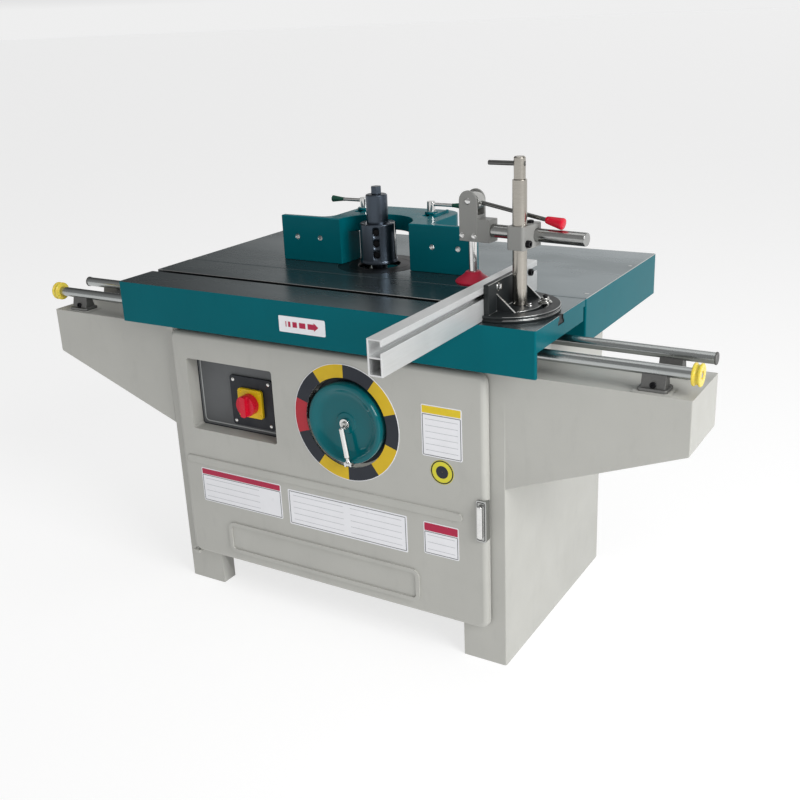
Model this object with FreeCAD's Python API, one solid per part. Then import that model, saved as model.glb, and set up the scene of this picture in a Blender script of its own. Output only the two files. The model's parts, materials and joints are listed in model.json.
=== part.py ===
import FreeCAD, Part
import os

# Spindle moulder with sliding table, mitre gauge, clamp and cabinet stand.
# Millimetres, +Z up, +X along the rails, front of the machine towards -Y.

V = FreeCAD.Vector
X_AXIS = V(1, 0, 0)
Y_AXIS = V(0, 1, 0)
Z_AXIS = V(0, 0, 1)

# Fits
overrun = 5.0
slide_clearance = 0.3
running_clearance = 0.05

# Tables
table_top_z = 850.0
table_length = 1156.0
table_depth = 772.0
sliding_depth = 274.0
table_gap = 3.0
plate_thickness = 16.0
skirt_thickness = 12.0
sliding_skirt_height = 104.0
end_lip_depth = 48.0
fixed_skirt_height = 106.0
table_corner_radius = 4.0
table_rib_inset = 115.0
sliding_rib_gap = 14.0
sliding_rib_height = 30.0
slot_y_from_front = 134.0
slot_width = 20.0
slot_foot_width = 32.0
slot_depth = 20.0
slot_foot_height = 8.0
slot_boss_width = 56.0
slot_boss_height = 14.0
gauge_fence_overhang = 375.0
table_half = table_length / 2
table_front_y = (gauge_fence_overhang - table_depth) / 2
table_rear_y = table_front_y + table_depth
fixed_front_y = table_front_y + sliding_depth + table_gap
slot_y = table_front_y + slot_y_from_front
plate_under_z = table_top_z - plate_thickness
cabinet_top_z = table_top_z - fixed_skirt_height

# Rails
rail_radius = 12.5
rail_z = 778.0
rail_half_length = 893.0
front_rail_inset = 75.0
rear_rail_inset = 188.5
front_rail_y = table_front_y + front_rail_inset
rear_rail_y = table_front_y + rear_rail_inset
cap_radius = 24.0
cap_length = 18.0
cap_end_wall = 4.0
cap_flange = 5.0
cap_groove_depth = 4.0
support_x = 804.0
support_width = 50.0
support_foot_depth = 36.0
support_neck_depth = 18.0
support_flange_width = 62.0
support_flange_depth = 46.0
support_flange_thickness = 7.0
support_lip = 3.0
pad_width = 78.0
pad_depth = 52.0
pad_height = 4.0
bearing_x = 250.0
bearing_length = 80.0
bearing_width = 48.0
bearing_wall = 11.0
bearing_chamfer = 6.0

# Cabinet and outriggers
cabinet_half = 486.0
cabinet_front_inset = 48.0
cabinet_rear_inset = 645.0
cabinet_front_y = table_front_y + cabinet_front_inset
cabinet_rear_y = table_front_y + cabinet_rear_inset
sheet = 4.0
leg_width = 111.0
leg_depth = 46.0
leg_height = 118.0
leg_opening_height = 92.0
leg_opening_radius = 4.0
front_frame_side = 56.0
front_frame_low_z = 128.0
front_frame_high_z = 704.0
top_opening_half = 400.0
top_opening_front = 300.0
top_opening_rear = 585.0
vent_count = 7
vent_length = 260.0
vent_height = 9.0
vent_pitch = 24.0
vent_low_z = 420.0
outrigger_end_x = 888.0
outrigger_depth = 186.0
outrigger_top_z = 732.0
outrigger_end_z = 611.0
outrigger_root_z = 460.0
outrigger_nose = 3.0

# Door
door_half = 450.0
door_front_inset = 24.3
door_depth = 18.7
door_front_y = table_front_y + door_front_inset
door_back_y = door_front_y + door_depth
door_low_z = 98.0
door_high_z = 731.0
door_edge_radius = 13.0
door_corner_radius = 24.0
door_sheet = 2.5
bead_z = 379.0
bead_height = 22.0
bead_relief = 4.0
bead_round = 3.0
bead_left_inset = 18.0
bead_right_inset = 60.0
bead_end_radius = 10.0
panel_bead_low_z = 127.0
panel_bead_high_z = 215.0
panel_bead_left = 314.0
panel_bead_right = 270.0
panel_bead_width = 10.0
panel_bead_corner = 20.0
door_pivot_inset = 6.0
door_pivot_depth = 9.7
door_pivot_x = door_pivot_inset - door_half
door_pivot_y = door_front_y + door_pivot_depth
pivot_radius = 4.0
pivot_reach = 12.0
pivot_plate_thickness = 9.0
pivot_plate_width = 22.0
window_left = -400.0
window_right = -128.0
window_low_z = 468.0
window_high_z = 660.0
window_depth = 42.0
window_corner_radius = 7.0
latch_inset = 12.0
latch_z = 383.0
latch_wrap = 24.0
latch_side_proud = 1.5
latch_back_gap = 3.0
latch_corner_radius = 6.0
latch_plate_height = 104.0
latch_plate_thickness = 4.5
latch_lever_width = 13.0
latch_lever_end_radius = 5.0
latch_lever_length = 82.0
latch_lever_thickness = 9.0
latch_pivot_radius = 6.0
latch_stem_length = 3.0
latch_x = door_half - latch_inset

# Switch
switch_plate_side = 134.0
switch_plate_thickness = 6.0
switch_plate_x = -224.0
switch_plate_z = 553.0
switch_corner_radius = 8.0
switch_base_side = 76.0
switch_base_thickness = 9.0
knob_radius = 28.0
knob_height = 20.0
knob_stem_radius = 10.0
knob_grip_width = 17.0
knob_grip_height = 30.0
knob_grip_length = 54.0
knob_grip_round = 6.0

# Handwheel and lift
wheel_x = 84.0
wheel_z = 561.0
wheel_radius = 101.0
wheel_hole_radius = 113.0
dial_outer_radius = 147.0
dial_thickness = 1.2
wheel_front_inset = 13.0
wheel_front_y = table_front_y + wheel_front_inset
wheel_thickness = 30.0
wheel_rim_width = 12.0
wheel_dish_depth = 14.0
wheel_web_thickness = 9.0
wheel_hub_radius = 26.0
wheel_hub_length = 34.0
wheel_edge_radius = 4.0
wheel_shaft_radius = 10.0
wheel_bolt_radius = 13.0
wheel_bolt_height = 7.0
wheel_rest_turn = 9.0
handle_orbit = 95.0
handle_stand = 9.0
handle_radius = 7.0
handle_length = 92.0
handle_neck_radius = 4.5
handle_neck_length = 14.0
handle_pin_radius = 3.5
handle_end_round = 3.0
lug_thickness = 5.0
lug_width = 12.0
lug_gap = 10.0
gearbox_side = 100.0
gearbox_round = 10.0
screw_radius = 11.0
screw_top_z = 806.0
screw_seat = 30.0
nut_radius = 24.0
nut_height = 46.0
nut_flange_radius = 32.0
nut_flange_thickness = 10.0
hanger_thickness = 12.0
hanger_foot = 60.0
hanger_lug_height = 16.0

# Spindle unit
spindle_x = -46.0
spindle_inset = 411.0
spindle_y = table_front_y + spindle_inset
shaft_radius = 20.0
shaft_low_z = 396.0
quill_radius = 64.0
quill_bore_radius = 30.0
quill_low_z = 478.0
quill_high_z = 790.0
bearing_ring_radius = 42.0
bearing_ring_height = 23.0
carriage_arm_height = 56.0
carriage_arm_low_z = 500.0
carriage_arm_high_z = 690.0
carriage_web_thickness = 20.0
post_radius = 20.0
post_offset_x = 105.0
post_offset_y = 100.0
post_low_z = 430.0
bush_wall = 14.0
foot_plate_thickness = 16.0
foot_plate_margin = 34.0
nut_arm_low_z = 694.0
drum_radius = 47.0
drum_low_z = 858.0
drum_high_z = 960.0
drum_screw_radius = 9.0
drum_screw_depth = 12.0
drum_screw_angle = 25.0
drum_screw_count = 3
drum_screw_pitch = 29.0
drum_screw_first = 24.0
drum_chamfer = 3.0
drum_ring_radius = 49.0
drum_ring_height = 7.0
drum_slot_width = 9.0
drum_slot_depth = 15.0
drum_slot_angle = 98.0
sleeve_radius = 28.0
sleeve_high_z = 1032.0
sleeve_chamfer = 2.5
arbor_nut_flats = 25.0
arbor_nut_height = 20.0
pulley_radius = 42.0
pulley_height = 44.0
pulley_groove_depth = 5.0
pulley_groove_count = 3
pulley_groove_share = 0.33
motor_offset_x = -250.0
motor_radius = 92.0
motor_length = 250.0
motor_plate_thickness = 16.0
motor_plate_z = 500.0
motor_flange_radius = 110.0
motor_flange_thickness = 12.0
motor_fin_count = 24
motor_fin_depth = 10.0
motor_fin_width = 4.0
motor_cover_share = 0.22
motor_shaft_share = 0.33
motor_fin_low = 24.0
motor_pulley_radius = 58.0
motor_shaft_radius = 14.0
belt_thickness = 6.0
belt_clearance = 0.4

# Table opening rings
opening_radius = 110.0
opening_seat_radius = 96.0
opening_seat_depth = 9.0
inner_ring_radius = 80.0
inner_ring_bore = 56.0
ring_step = 6.0
boss_wall = 14.0

# Fence hood and its locks
hood_front_inset = 371.0
hood_front_y = table_front_y + hood_front_inset
hood_offset_x = 12.0
hood_height = 120.0
hood_plate_width = 187.0
hood_plate_thickness = 16.0
hood_inner_radius = 104.0
hood_throat_lead = 6.0
hood_left_reach = 144.0
hood_right_reach = 159.0
hood_depth = 204.0
hood_corner_radius = 58.0
hood_web_radius = 32.0
hood_wall_depth = 84.0
hood_yoke_height = 40.0
hood_rib_offset = 20.0
hood_rib_width = 8.0
hood_rib_length = 76.0
hood_rib_height = 5.0
hood_edge_radius = 3.0
hood_hole_radius = 6.5
hood_hole_inset = 49.0
hood_hole_pitch = 73.0
hood_hole_z = 65.0
hood_lift = 0.3
stud_offset_x = 104.0
stud_offset_y = 100.0
stud_radius = 9.0
stud_collar_radius = 17.0
stud_collar_height = 6.0
hood_travel = 30.0
lock_hub_radius = 11.0
lock_hub_height = 26.0
lock_rod_radius = 4.5
lock_rod_length = 82.0
lock_grip_radius = 9.0
lock_grip_length = 36.0

# Mitre gauge
gauge_inset = 124.0
gauge_x = table_half - gauge_inset
gauge_radius = 114.0
gauge_base_thickness = 13.0
gauge_plate_thickness = 12.0
gauge_plate_height = 77.0
gauge_plate_front = 106.0
gauge_plate_rear = 88.0
gauge_rim_low = 5.0
gauge_rim_groove = 3.0
gauge_rib_thickness = 6.0
gauge_rib_length = 48.0
gauge_rib_offset = 66.0
gauge_rib_drop = 22.0
gauge_slot_radius = 80.0
gauge_slot_width = 13.0
gauge_slot_steps = 9
gauge_slot_half_angle = 46.0
gauge_pin_radius = 5.0
gauge_pin_height = 9.0
guide_bar_length = 242.0
guide_bar_end_inset = 2.0
lock_bolt_radius = 5.5
lock_washer_radius = 15.0
lock_washer_thickness = 4.0
lock_bolt_flats = 17.0
lock_bolt_height = 14.0
gauge_lock_angle = 24.0
fence_width = 31.0
fence_height = 71.0
fence_wall = 3.5
fence_length = 679.0
fence_slot_width = 11.5
fence_slot_drop = 13.5
fence_web_drop = 34.0
fence_lift = 1.0

# Mast and clamp
mast_offset_x = 28.0
mast_radius = 15.5
mast_head_radius = 12.5
mast_stem_radius = 6.5
mast_shoulder_z = 1130.0
mast_top_z = 1177.0
tommy_radius = 5.0
tommy_z = 1162.0
tommy_reach = 71.0
tommy_tail = 10.0
cross_low_z = 984.0
cross_high_z = 1034.0
cross_width = 42.0
cross_corner_radius = 7.0
arm_rest_turn = 6.0
bar_offset_y = 37.0
bar_radius = 14.5
bar_z = 1009.0
head_from_mast = 142.0
head_x = gauge_x + mast_offset_x - head_from_mast
bar_left_from_head = 32.0
bar_left_x = head_x + bar_left_from_head
bar_length = 248.0
head_width = 46.0
head_gap = 26.0
head_plate_thickness = 6.0
head_low_z = 984.0
head_pivot_z = 1072.0
head_block_height = 58.0
head_arm_height = 50.0
head_arm_depth = 35.0
head_arm_reach = 54.0
cam_radius = 22.0
cam_shift = 5.0
cam_phase = 50.0
press_gap = 0.4
cam_pin_radius = 5.0
lever_radius = 4.5
lever_length = 164.0
lever_drop_angle = 9.0
knob_small_radius = 8.0
knob_big_radius = 13.0
knob_edge_radius = 4.0
red_knob_length = 43.0
press_radius = 9.5
press_foot_z = 914.0
foot_low_z = 886.0
foot_radius = 41.0
foot_neck_radius = 16.0
foot_rim = 9.0
foot_rim_inset = 4.0
foot_socket = 12.0


def block(x0, x1, y0, y1, z0, z1):
    return Part.makeBox(x1 - x0, y1 - y0, z1 - z0, V(x0, y0, z0))


def rod(x, y, z, radius, length, axis):
    return Part.makeCylinder(radius, length, V(x, y, z), axis)


def tube(x, y, z, outer, inner, length, axis):
    start = V(x, y, z) - axis * overrun
    bore = Part.makeCylinder(inner, length + 2 * overrun, start, axis)
    return rod(x, y, z, outer, length, axis).cut(bore)


def profile_xz(points, y0, y1):
    corners = [V(x, y0, z) for x, z in points]
    face = Part.Face(Part.makePolygon(corners + corners[:1]))
    return face.extrude(V(0, y1 - y0, 0))


def profile_xy(points, z0, z1):
    corners = [V(x, y, z0) for x, y in points]
    face = Part.Face(Part.makePolygon(corners + corners[:1]))
    return face.extrude(V(0, 0, z1 - z0))


def profile_yz(points, x0, x1):
    corners = [V(x0, y, z) for y, z in points]
    face = Part.Face(Part.makePolygon(corners + corners[:1]))
    return face.extrude(V(x1 - x0, 0, 0))


def revolve_z(x, y, outline):
    corners = [V(x + r, y, z) for r, z in outline]
    face = Part.Face(Part.makePolygon(corners + corners[:1]))
    return face.revolve(V(x, y, 0), Z_AXIS, 360)


def revolve_y(x, z, outline):
    corners = [V(x + r, y, z) for r, y in outline]
    face = Part.Face(Part.makePolygon(corners + corners[:1]))
    return face.revolve(V(x, 0, z), Y_AXIS, 360)


def hex_prism(x, y, z, flats, height):
    radius = flats / 3 ** 0.5
    start = V(radius, 0, 0)
    turn = FreeCAD.Rotation(Z_AXIS, 60)
    points = []
    for corner in range(6):
        points.append((x + start.x, y + start.y))
        start = turn.multVec(start)
    return profile_xy(points, z, z + height)


def edges_along(shape, axis):
    picked = []
    for edge in shape.Edges:
        if len(edge.Vertexes) == 2:
            run = edge.Vertexes[1].Point - edge.Vertexes[0].Point
            if run.cross(axis).Length < running_clearance:
                picked.append(edge)
    return picked


def rounded_block(x0, x1, y0, y1, z0, z1, radius, axis):
    shape = block(x0, x1, y0, y1, z0, z1)
    return shape.makeFillet(radius, edges_along(shape, axis))


# Cabinet stand

def cabinet():
    shell = block(-cabinet_half, cabinet_half, cabinet_front_y, cabinet_rear_y, 0, cabinet_top_z)
    hollow = block(-cabinet_half + sheet, cabinet_half - sheet, cabinet_front_y + sheet,
                   cabinet_rear_y - sheet, -overrun, cabinet_top_z - sheet)
    shell = shell.cut(hollow)
    frame_half = cabinet_half - front_frame_side
    shell = shell.cut(block(-frame_half, frame_half, cabinet_front_y - overrun,
                            cabinet_front_y + sheet + overrun, front_frame_low_z, front_frame_high_z))
    leg_gap = cabinet_half - leg_width
    arch = rounded_block(-leg_gap, leg_gap, cabinet_front_y - overrun, cabinet_rear_y + overrun,
                         -leg_opening_height, leg_opening_height, leg_opening_radius, Y_AXIS)
    shell = shell.cut(arch)
    shell = shell.cut(block(-top_opening_half, top_opening_half, table_front_y + top_opening_front,
                            table_front_y + top_opening_rear, cabinet_top_z - sheet - overrun,
                            cabinet_top_z + overrun))
    for row in range(vent_count):
        low = vent_low_z + row * vent_pitch
        shell = shell.cut(block(-vent_length / 2, vent_length / 2, cabinet_rear_y - sheet - overrun,
                                cabinet_rear_y + overrun, low, low + vent_height))
    for leg in cabinet_legs():
        shell = shell.fuse(leg)
    return shell.removeSplitter()


def cabinet_legs():
    legs = []
    for x in (-cabinet_half, cabinet_half - leg_width):
        for y in (cabinet_front_y, cabinet_rear_y - leg_depth):
            leg = block(x, x + leg_width, y, y + leg_depth, 0, leg_height)
            leg = leg.cut(block(x + sheet, x + leg_width - sheet, y + sheet, y + leg_depth - sheet,
                                sheet, leg_height + overrun))
            legs.append(leg)
    return legs


def outrigger(side):
    y0 = cabinet_front_y
    y1 = cabinet_front_y + outrigger_depth
    outer = [(cabinet_half, outrigger_top_z), (outrigger_end_x, outrigger_top_z),
             (outrigger_end_x, outrigger_end_z + outrigger_nose),
             (outrigger_end_x - outrigger_nose, outrigger_end_z), (cabinet_half, outrigger_root_z)]
    body = profile_xz(outer, y0, y1)
    inner = [(cabinet_half - overrun, outrigger_top_z - sheet),
             (outrigger_end_x - sheet, outrigger_top_z - sheet),
             (outrigger_end_x - sheet, outrigger_end_z + outrigger_nose + sheet),
             (outrigger_end_x - outrigger_nose - sheet, outrigger_end_z + sheet),
             (cabinet_half - overrun, outrigger_root_z + sheet)]
    body = body.cut(profile_xz(inner, y0 + sheet, y1 - sheet))
    for y in (front_rail_y, rear_rail_y):
        body = body.fuse(block(support_x - pad_width / 2, support_x + pad_width / 2, y - pad_depth / 2,
                               y + pad_depth / 2, outrigger_top_z, outrigger_top_z + pad_height))
    if side < 0:
        body = body.mirror(V(0, 0, 0), X_AXIS)
    return body


# Door with its pivots, latch and switch

def door_pivots():
    low_z = door_low_z - slide_clearance
    high_z = door_high_z + slide_clearance
    pins = []
    for plate_z, pin_z in ((low_z - pivot_plate_thickness, low_z), (high_z, high_z - pivot_reach)):
        plate = block(door_pivot_x - pivot_plate_width / 2, door_pivot_x + pivot_plate_width / 2,
                      door_pivot_y - pivot_plate_width / 2, cabinet_front_y,
                      plate_z, plate_z + pivot_plate_thickness)
        pin = rod(door_pivot_x, door_pivot_y, pin_z, pivot_radius, pivot_reach, Z_AXIS)
        pins.append(plate.fuse(pin).removeSplitter())
    return Part.makeCompound(pins)


def window_pan(grow, y1):
    return rounded_block(window_left - grow, window_right + grow, door_front_y, y1, window_low_z - grow,
                         window_high_z + grow, window_corner_radius + grow, Y_AXIS)


def edges_at_y(shape, y):
    return [edge for edge in shape.Edges
            if all(abs(v.Y - y) < running_clearance for v in edge.Vertexes)]


def panel_bead():
    y0 = door_front_y - bead_relief
    outer = rounded_block(-panel_bead_left, panel_bead_right, y0, door_front_y + door_sheet,
                          panel_bead_low_z, panel_bead_high_z, panel_bead_corner, Y_AXIS)
    inner = rounded_block(-panel_bead_left + panel_bead_width, panel_bead_right - panel_bead_width,
                          y0 - overrun, door_front_y + door_sheet + overrun,
                          panel_bead_low_z + panel_bead_width, panel_bead_high_z - panel_bead_width,
                          panel_bead_corner - panel_bead_width, Y_AXIS)
    return outer.cut(inner)


def cross_bead():
    bead = rounded_block(-door_half + bead_left_inset, door_half - bead_right_inset, door_front_y - bead_relief,
                         door_front_y + door_sheet, bead_z - bead_height / 2, bead_z + bead_height / 2,
                         bead_end_radius, Y_AXIS)
    return bead.makeFillet(bead_round, edges_at_y(bead, door_front_y - bead_relief))


def door_pan(inset, y1):
    pan = rounded_block(-door_half + inset, door_half - inset, door_front_y + inset, y1, door_low_z + inset,
                        door_high_z - inset, door_corner_radius - inset, Y_AXIS)
    return pan.makeFillet(door_edge_radius - inset, edges_at_y(pan, door_front_y + inset))


def front_door():
    inside = door_pan(door_sheet, door_back_y + overrun)
    pan = door_pan(0, door_back_y).cut(inside)
    pan = pan.fuse(cross_bead()).fuse(panel_bead())
    pan = pan.fuse(window_pan(door_sheet, door_front_y + window_depth))
    pan = pan.cut(window_pan(0, window_floor_y()))
    pan = pan.cut(rod(wheel_x, door_front_y - overrun, wheel_z, wheel_hole_radius,
                      door_depth + 2 * overrun, Y_AXIS))
    for boss_z in (door_low_z + door_sheet, door_high_z - door_sheet - pivot_reach):
        boss = block(door_pivot_x - pivot_radius, door_pivot_x + pivot_plate_width,
                     door_front_y + door_sheet, door_back_y, boss_z, boss_z + pivot_reach)
        pan = pan.fuse(boss.common(inside))
    for pin_z in (door_low_z - overrun, door_high_z - pivot_reach):
        pan = pan.cut(rod(door_pivot_x, door_pivot_y, pin_z, pivot_radius + running_clearance,
                          pivot_reach + overrun, Z_AXIS))
    return pan.cut(latch_case()).removeSplitter()


def dial_ring():
    return tube(wheel_x, door_front_y - dial_thickness, wheel_z, dial_outer_radius, wheel_hole_radius,
                dial_thickness, Y_AXIS)


def latch_case():
    half = latch_plate_height / 2
    return rounded_block(door_half - latch_wrap, door_half + latch_side_proud,
                         door_front_y - latch_plate_thickness, door_back_y - latch_back_gap,
                         latch_z - half, latch_z + half, latch_corner_radius, Y_AXIS)


def latch_pivot_z():
    return latch_z + latch_lever_length / 2 - latch_pivot_radius


def door_latch_plate():
    bore = rod(latch_x, door_front_y - latch_plate_thickness - overrun, latch_pivot_z(),
               latch_pivot_radius + running_clearance, latch_plate_thickness + overrun, Y_AXIS)
    return latch_case().cut(bore)


def door_latch_lever():
    back_y = door_front_y - latch_plate_thickness - slide_clearance
    half = latch_lever_width / 2
    lever = rounded_block(latch_x - half, latch_x + half, back_y - latch_lever_thickness, back_y,
                          latch_z - latch_lever_length / 2, latch_z + latch_lever_length / 2,
                          latch_lever_end_radius, Y_AXIS)
    lever = lever.makeFillet(latch_stem_length, edges_at_y(lever, back_y - latch_lever_thickness))
    stem = rod(latch_x, back_y, latch_pivot_z(), latch_pivot_radius, latch_stem_length, Y_AXIS)
    return lever.fuse(stem).removeSplitter()


def window_floor_y():
    return door_front_y + window_depth - door_sheet


def switch_plate():
    half = switch_plate_side / 2
    y1 = window_floor_y()
    return rounded_block(switch_plate_x - half, switch_plate_x + half, y1 - switch_plate_thickness, y1,
                         switch_plate_z - half, switch_plate_z + half, switch_corner_radius, Y_AXIS)


def switch_base():
    half = switch_base_side / 2
    y1 = window_floor_y() - switch_plate_thickness
    plate = rounded_block(switch_plate_x - half, switch_plate_x + half, y1 - switch_base_thickness, y1,
                          switch_plate_z - half, switch_plate_z + half, switch_corner_radius, Y_AXIS)
    bore = rod(switch_plate_x, y1 - switch_base_thickness - overrun, switch_plate_z,
               knob_stem_radius + running_clearance, switch_base_thickness + overrun, Y_AXIS)
    return plate.cut(bore)


def switch_knob():
    y1 = window_floor_y() - switch_plate_thickness - switch_base_thickness - slide_clearance
    body = rod(switch_plate_x, y1 - knob_height, switch_plate_z, knob_radius, knob_height, Y_AXIS)
    stem = rod(switch_plate_x, y1, switch_plate_z, knob_stem_radius,
               switch_base_thickness - slide_clearance, Y_AXIS)
    grip = rounded_block(switch_plate_x - knob_grip_width / 2, switch_plate_x + knob_grip_width / 2,
                         y1 - knob_grip_height, y1, switch_plate_z - knob_grip_length / 2,
                         switch_plate_z + knob_grip_length / 2, knob_grip_round, Y_AXIS)
    return body.fuse(stem).fuse(grip).removeSplitter()


# Handwheel and lifting gear

def handwheel():
    rim_in = wheel_radius - wheel_rim_width
    web_front = wheel_front_y + wheel_dish_depth
    web_back = web_front + wheel_web_thickness
    back = wheel_front_y + wheel_thickness
    hub_front = web_front - wheel_edge_radius
    hub_back = hub_front + wheel_hub_length
    bore = wheel_shaft_radius + running_clearance
    outline = [(bore, hub_front), (wheel_hub_radius, hub_front),
               (wheel_hub_radius + wheel_edge_radius, web_front),
               (rim_in - wheel_dish_depth, web_front), (rim_in, wheel_front_y + wheel_edge_radius),
               (rim_in + wheel_edge_radius, wheel_front_y), (wheel_radius - wheel_edge_radius, wheel_front_y),
               (wheel_radius, wheel_front_y + wheel_edge_radius), (wheel_radius, back),
               (rim_in, back), (rim_in - wheel_edge_radius, web_back), (wheel_hub_radius, web_back),
               (wheel_hub_radius, hub_back), (bore, hub_back)]
    return revolve_y(wheel_x, wheel_z, outline)


def gear_front_y():
    return spindle_y - gearbox_side / 2


def handwheel_shaft():
    front = wheel_front_y + wheel_dish_depth - wheel_edge_radius
    return rod(wheel_x, front, wheel_z, wheel_shaft_radius, gear_front_y() + screw_seat - front, Y_AXIS)


def at_rest_turn(shape):
    shape.rotate(V(wheel_x, 0, wheel_z), Y_AXIS, -wheel_rest_turn)
    return shape


def wheel_fittings():
    front = wheel_front_y + wheel_dish_depth - wheel_edge_radius
    bolt = rod(wheel_x, front - wheel_bolt_height, wheel_z, wheel_bolt_radius, wheel_bolt_height, Y_AXIS)
    pivot_z = wheel_z - handle_orbit
    pieces = [bolt]
    for side in (-1, 1):
        inner = wheel_x + side * lug_gap / 2
        outer = inner + side * lug_thickness
        lug = block(min(inner, outer), max(inner, outer), handle_axis_y() - lug_width / 2,
                    wheel_front_y + wheel_edge_radius, pivot_z - lug_width / 2, pivot_z + lug_width / 2)
        hole = rod(wheel_x - lug_gap - lug_thickness, handle_axis_y(), pivot_z,
                   handle_pin_radius + running_clearance, 2 * (lug_gap + lug_thickness), X_AXIS)
        pieces.append(at_rest_turn(lug.cut(hole)).cut(handwheel()))
    return Part.makeCompound(pieces)


def handle_axis_y():
    return wheel_front_y - handle_stand


def handwheel_handle():
    pivot_z = wheel_z - handle_orbit
    y = handle_axis_y()
    pin = rod(wheel_x - lug_gap / 2 - lug_thickness, y, pivot_z, handle_pin_radius,
              lug_gap + 2 * lug_thickness, X_AXIS)
    eye_length = lug_gap - 2 * slide_clearance
    eye = rod(wheel_x - eye_length / 2, y, pivot_z, lug_width / 2, eye_length, X_AXIS)
    low = pivot_z + handle_neck_length
    neck = rod(wheel_x, y, pivot_z, handle_neck_radius, handle_neck_length + handle_end_round, Z_AXIS)
    high = pivot_z + handle_length
    grip = revolve_z(wheel_x, y, [(0, low), (handle_radius - handle_end_round, low),
                                  (handle_radius, low + handle_end_round),
                                  (handle_radius, high - handle_end_round),
                                  (handle_radius - handle_end_round, high), (0, high)])
    return at_rest_turn(eye.fuse(pin).fuse(neck).fuse(grip).removeSplitter())


def lift_gearbox():
    half = gearbox_side / 2
    case = rounded_block(wheel_x - half, wheel_x + half, spindle_y - half, spindle_y + half,
                         wheel_z - half, wheel_z + half, gearbox_round, Z_AXIS)
    case = case.cut(rod(wheel_x, spindle_y - half - overrun, wheel_z, wheel_shaft_radius + running_clearance,
                        screw_seat + overrun + slide_clearance, Y_AXIS))
    return case.cut(rod(wheel_x, spindle_y, wheel_z + half - screw_seat - slide_clearance,
                        screw_radius + running_clearance, screw_seat + overrun, Z_AXIS))


def lead_screw():
    low = wheel_z + gearbox_side / 2 - screw_seat
    return rod(wheel_x, spindle_y, low, screw_radius, screw_top_z - low, Z_AXIS)


def lead_nut():
    body = tube(wheel_x, spindle_y, nut_arm_low_z, nut_radius, screw_radius + running_clearance,
                nut_height, Z_AXIS)
    flange = tube(wheel_x, spindle_y, nut_arm_low_z - nut_flange_thickness, nut_flange_radius,
                  screw_radius + running_clearance, nut_flange_thickness, Z_AXIS)
    return body.fuse(flange).removeSplitter()


def gearbox_hanger():
    x0 = wheel_x + gearbox_side / 2
    half = gearbox_side / 2
    plate = block(x0, x0 + hanger_thickness, spindle_y - half, spindle_y + half, wheel_z - half, plate_under_z)
    foot = block(x0, x0 + hanger_foot, spindle_y - half, spindle_y + half,
                 plate_under_z - hanger_thickness, plate_under_z)
    lug_low = screw_top_z - hanger_lug_height
    lug = block(wheel_x - screw_radius - hanger_thickness, x0, spindle_y - nut_radius, spindle_y + nut_radius,
                lug_low, screw_top_z)
    lug = lug.cut(rod(wheel_x, spindle_y, lug_low - overrun, screw_radius + running_clearance,
                      hanger_lug_height + 2 * overrun, Z_AXIS))
    return plate.fuse(foot).fuse(lug).removeSplitter()


# Spindle unit

def post_places():
    return [(spindle_x - post_offset_x, spindle_y + post_offset_y),
            (spindle_x + post_offset_x, spindle_y + post_offset_y)]


def guide_posts():
    return Part.makeCompound([rod(x, y, post_low_z, post_radius, plate_under_z - post_low_z, Z_AXIS)
                              for x, y in post_places()])


def guide_foot_plate():
    (left, y), (right, y) = post_places()
    margin = foot_plate_margin
    return rounded_block(left - margin, right + margin, y - margin, y + margin,
                         post_low_z - foot_plate_thickness, post_low_z, post_radius, Z_AXIS)


def spindle_carriage():
    quill = rod(spindle_x, spindle_y, quill_low_z, quill_radius, quill_high_z - quill_low_z, Z_AXIS)
    body = quill
    bush_radius = post_radius + bush_wall
    for x, y in post_places():
        body = body.fuse(rod(x, y, carriage_arm_low_z, bush_radius,
                             carriage_arm_high_z - carriage_arm_low_z, Z_AXIS))
    (left, y), (right, y) = post_places()
    for low in (carriage_arm_low_z, carriage_arm_high_z - carriage_arm_height):
        body = body.fuse(block(left, right, y - carriage_web_thickness / 2, y + carriage_web_thickness / 2,
                               low, low + carriage_arm_height))
        body = body.fuse(block(spindle_x - carriage_web_thickness, spindle_x + carriage_web_thickness,
                               spindle_y, y, low, low + carriage_arm_height))
    arm_top = nut_arm_low_z + carriage_arm_height / 2
    body = body.fuse(block(spindle_x, wheel_x, spindle_y - carriage_web_thickness,
                           spindle_y + carriage_web_thickness, nut_arm_low_z, arm_top))
    body = body.fuse(rod(wheel_x, spindle_y, nut_arm_low_z, nut_flange_radius, arm_top - nut_arm_low_z, Z_AXIS))
    body = body.cut(rod(wheel_x, spindle_y, nut_arm_low_z - overrun, nut_radius,
                        carriage_arm_height, Z_AXIS))
    for x, y in post_places():
        body = body.cut(rod(x, y, carriage_arm_low_z - overrun, post_radius + running_clearance,
                            carriage_arm_high_z - carriage_arm_low_z + 2 * overrun, Z_AXIS))
    body = body.cut(rod(spindle_x, spindle_y, quill_low_z - overrun, quill_bore_radius,
                        quill_high_z - quill_low_z + 2 * overrun, Z_AXIS))
    for seat in (quill_low_z - overrun, quill_high_z - bearing_ring_height):
        body = body.cut(rod(spindle_x, spindle_y, seat, bearing_ring_radius,
                            bearing_ring_height + overrun, Z_AXIS))
    plate_reach = motor_offset_x + spindle_x
    body = body.fuse(block(plate_reach + motor_flange_radius, spindle_x - quill_radius / 2,
                           spindle_y - quill_radius / 2, spindle_y + quill_radius / 2,
                           motor_plate_z + motor_plate_thickness,
                           motor_plate_z + motor_plate_thickness + carriage_arm_height).cut(quill))
    return body.removeSplitter()


def spindle_bearings():
    rings = []
    for z in (quill_low_z, quill_high_z - bearing_ring_height):
        rings.append(tube(spindle_x, spindle_y, z, bearing_ring_radius, shaft_radius + running_clearance,
                          bearing_ring_height, Z_AXIS))
    return Part.makeCompound(rings)


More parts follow.
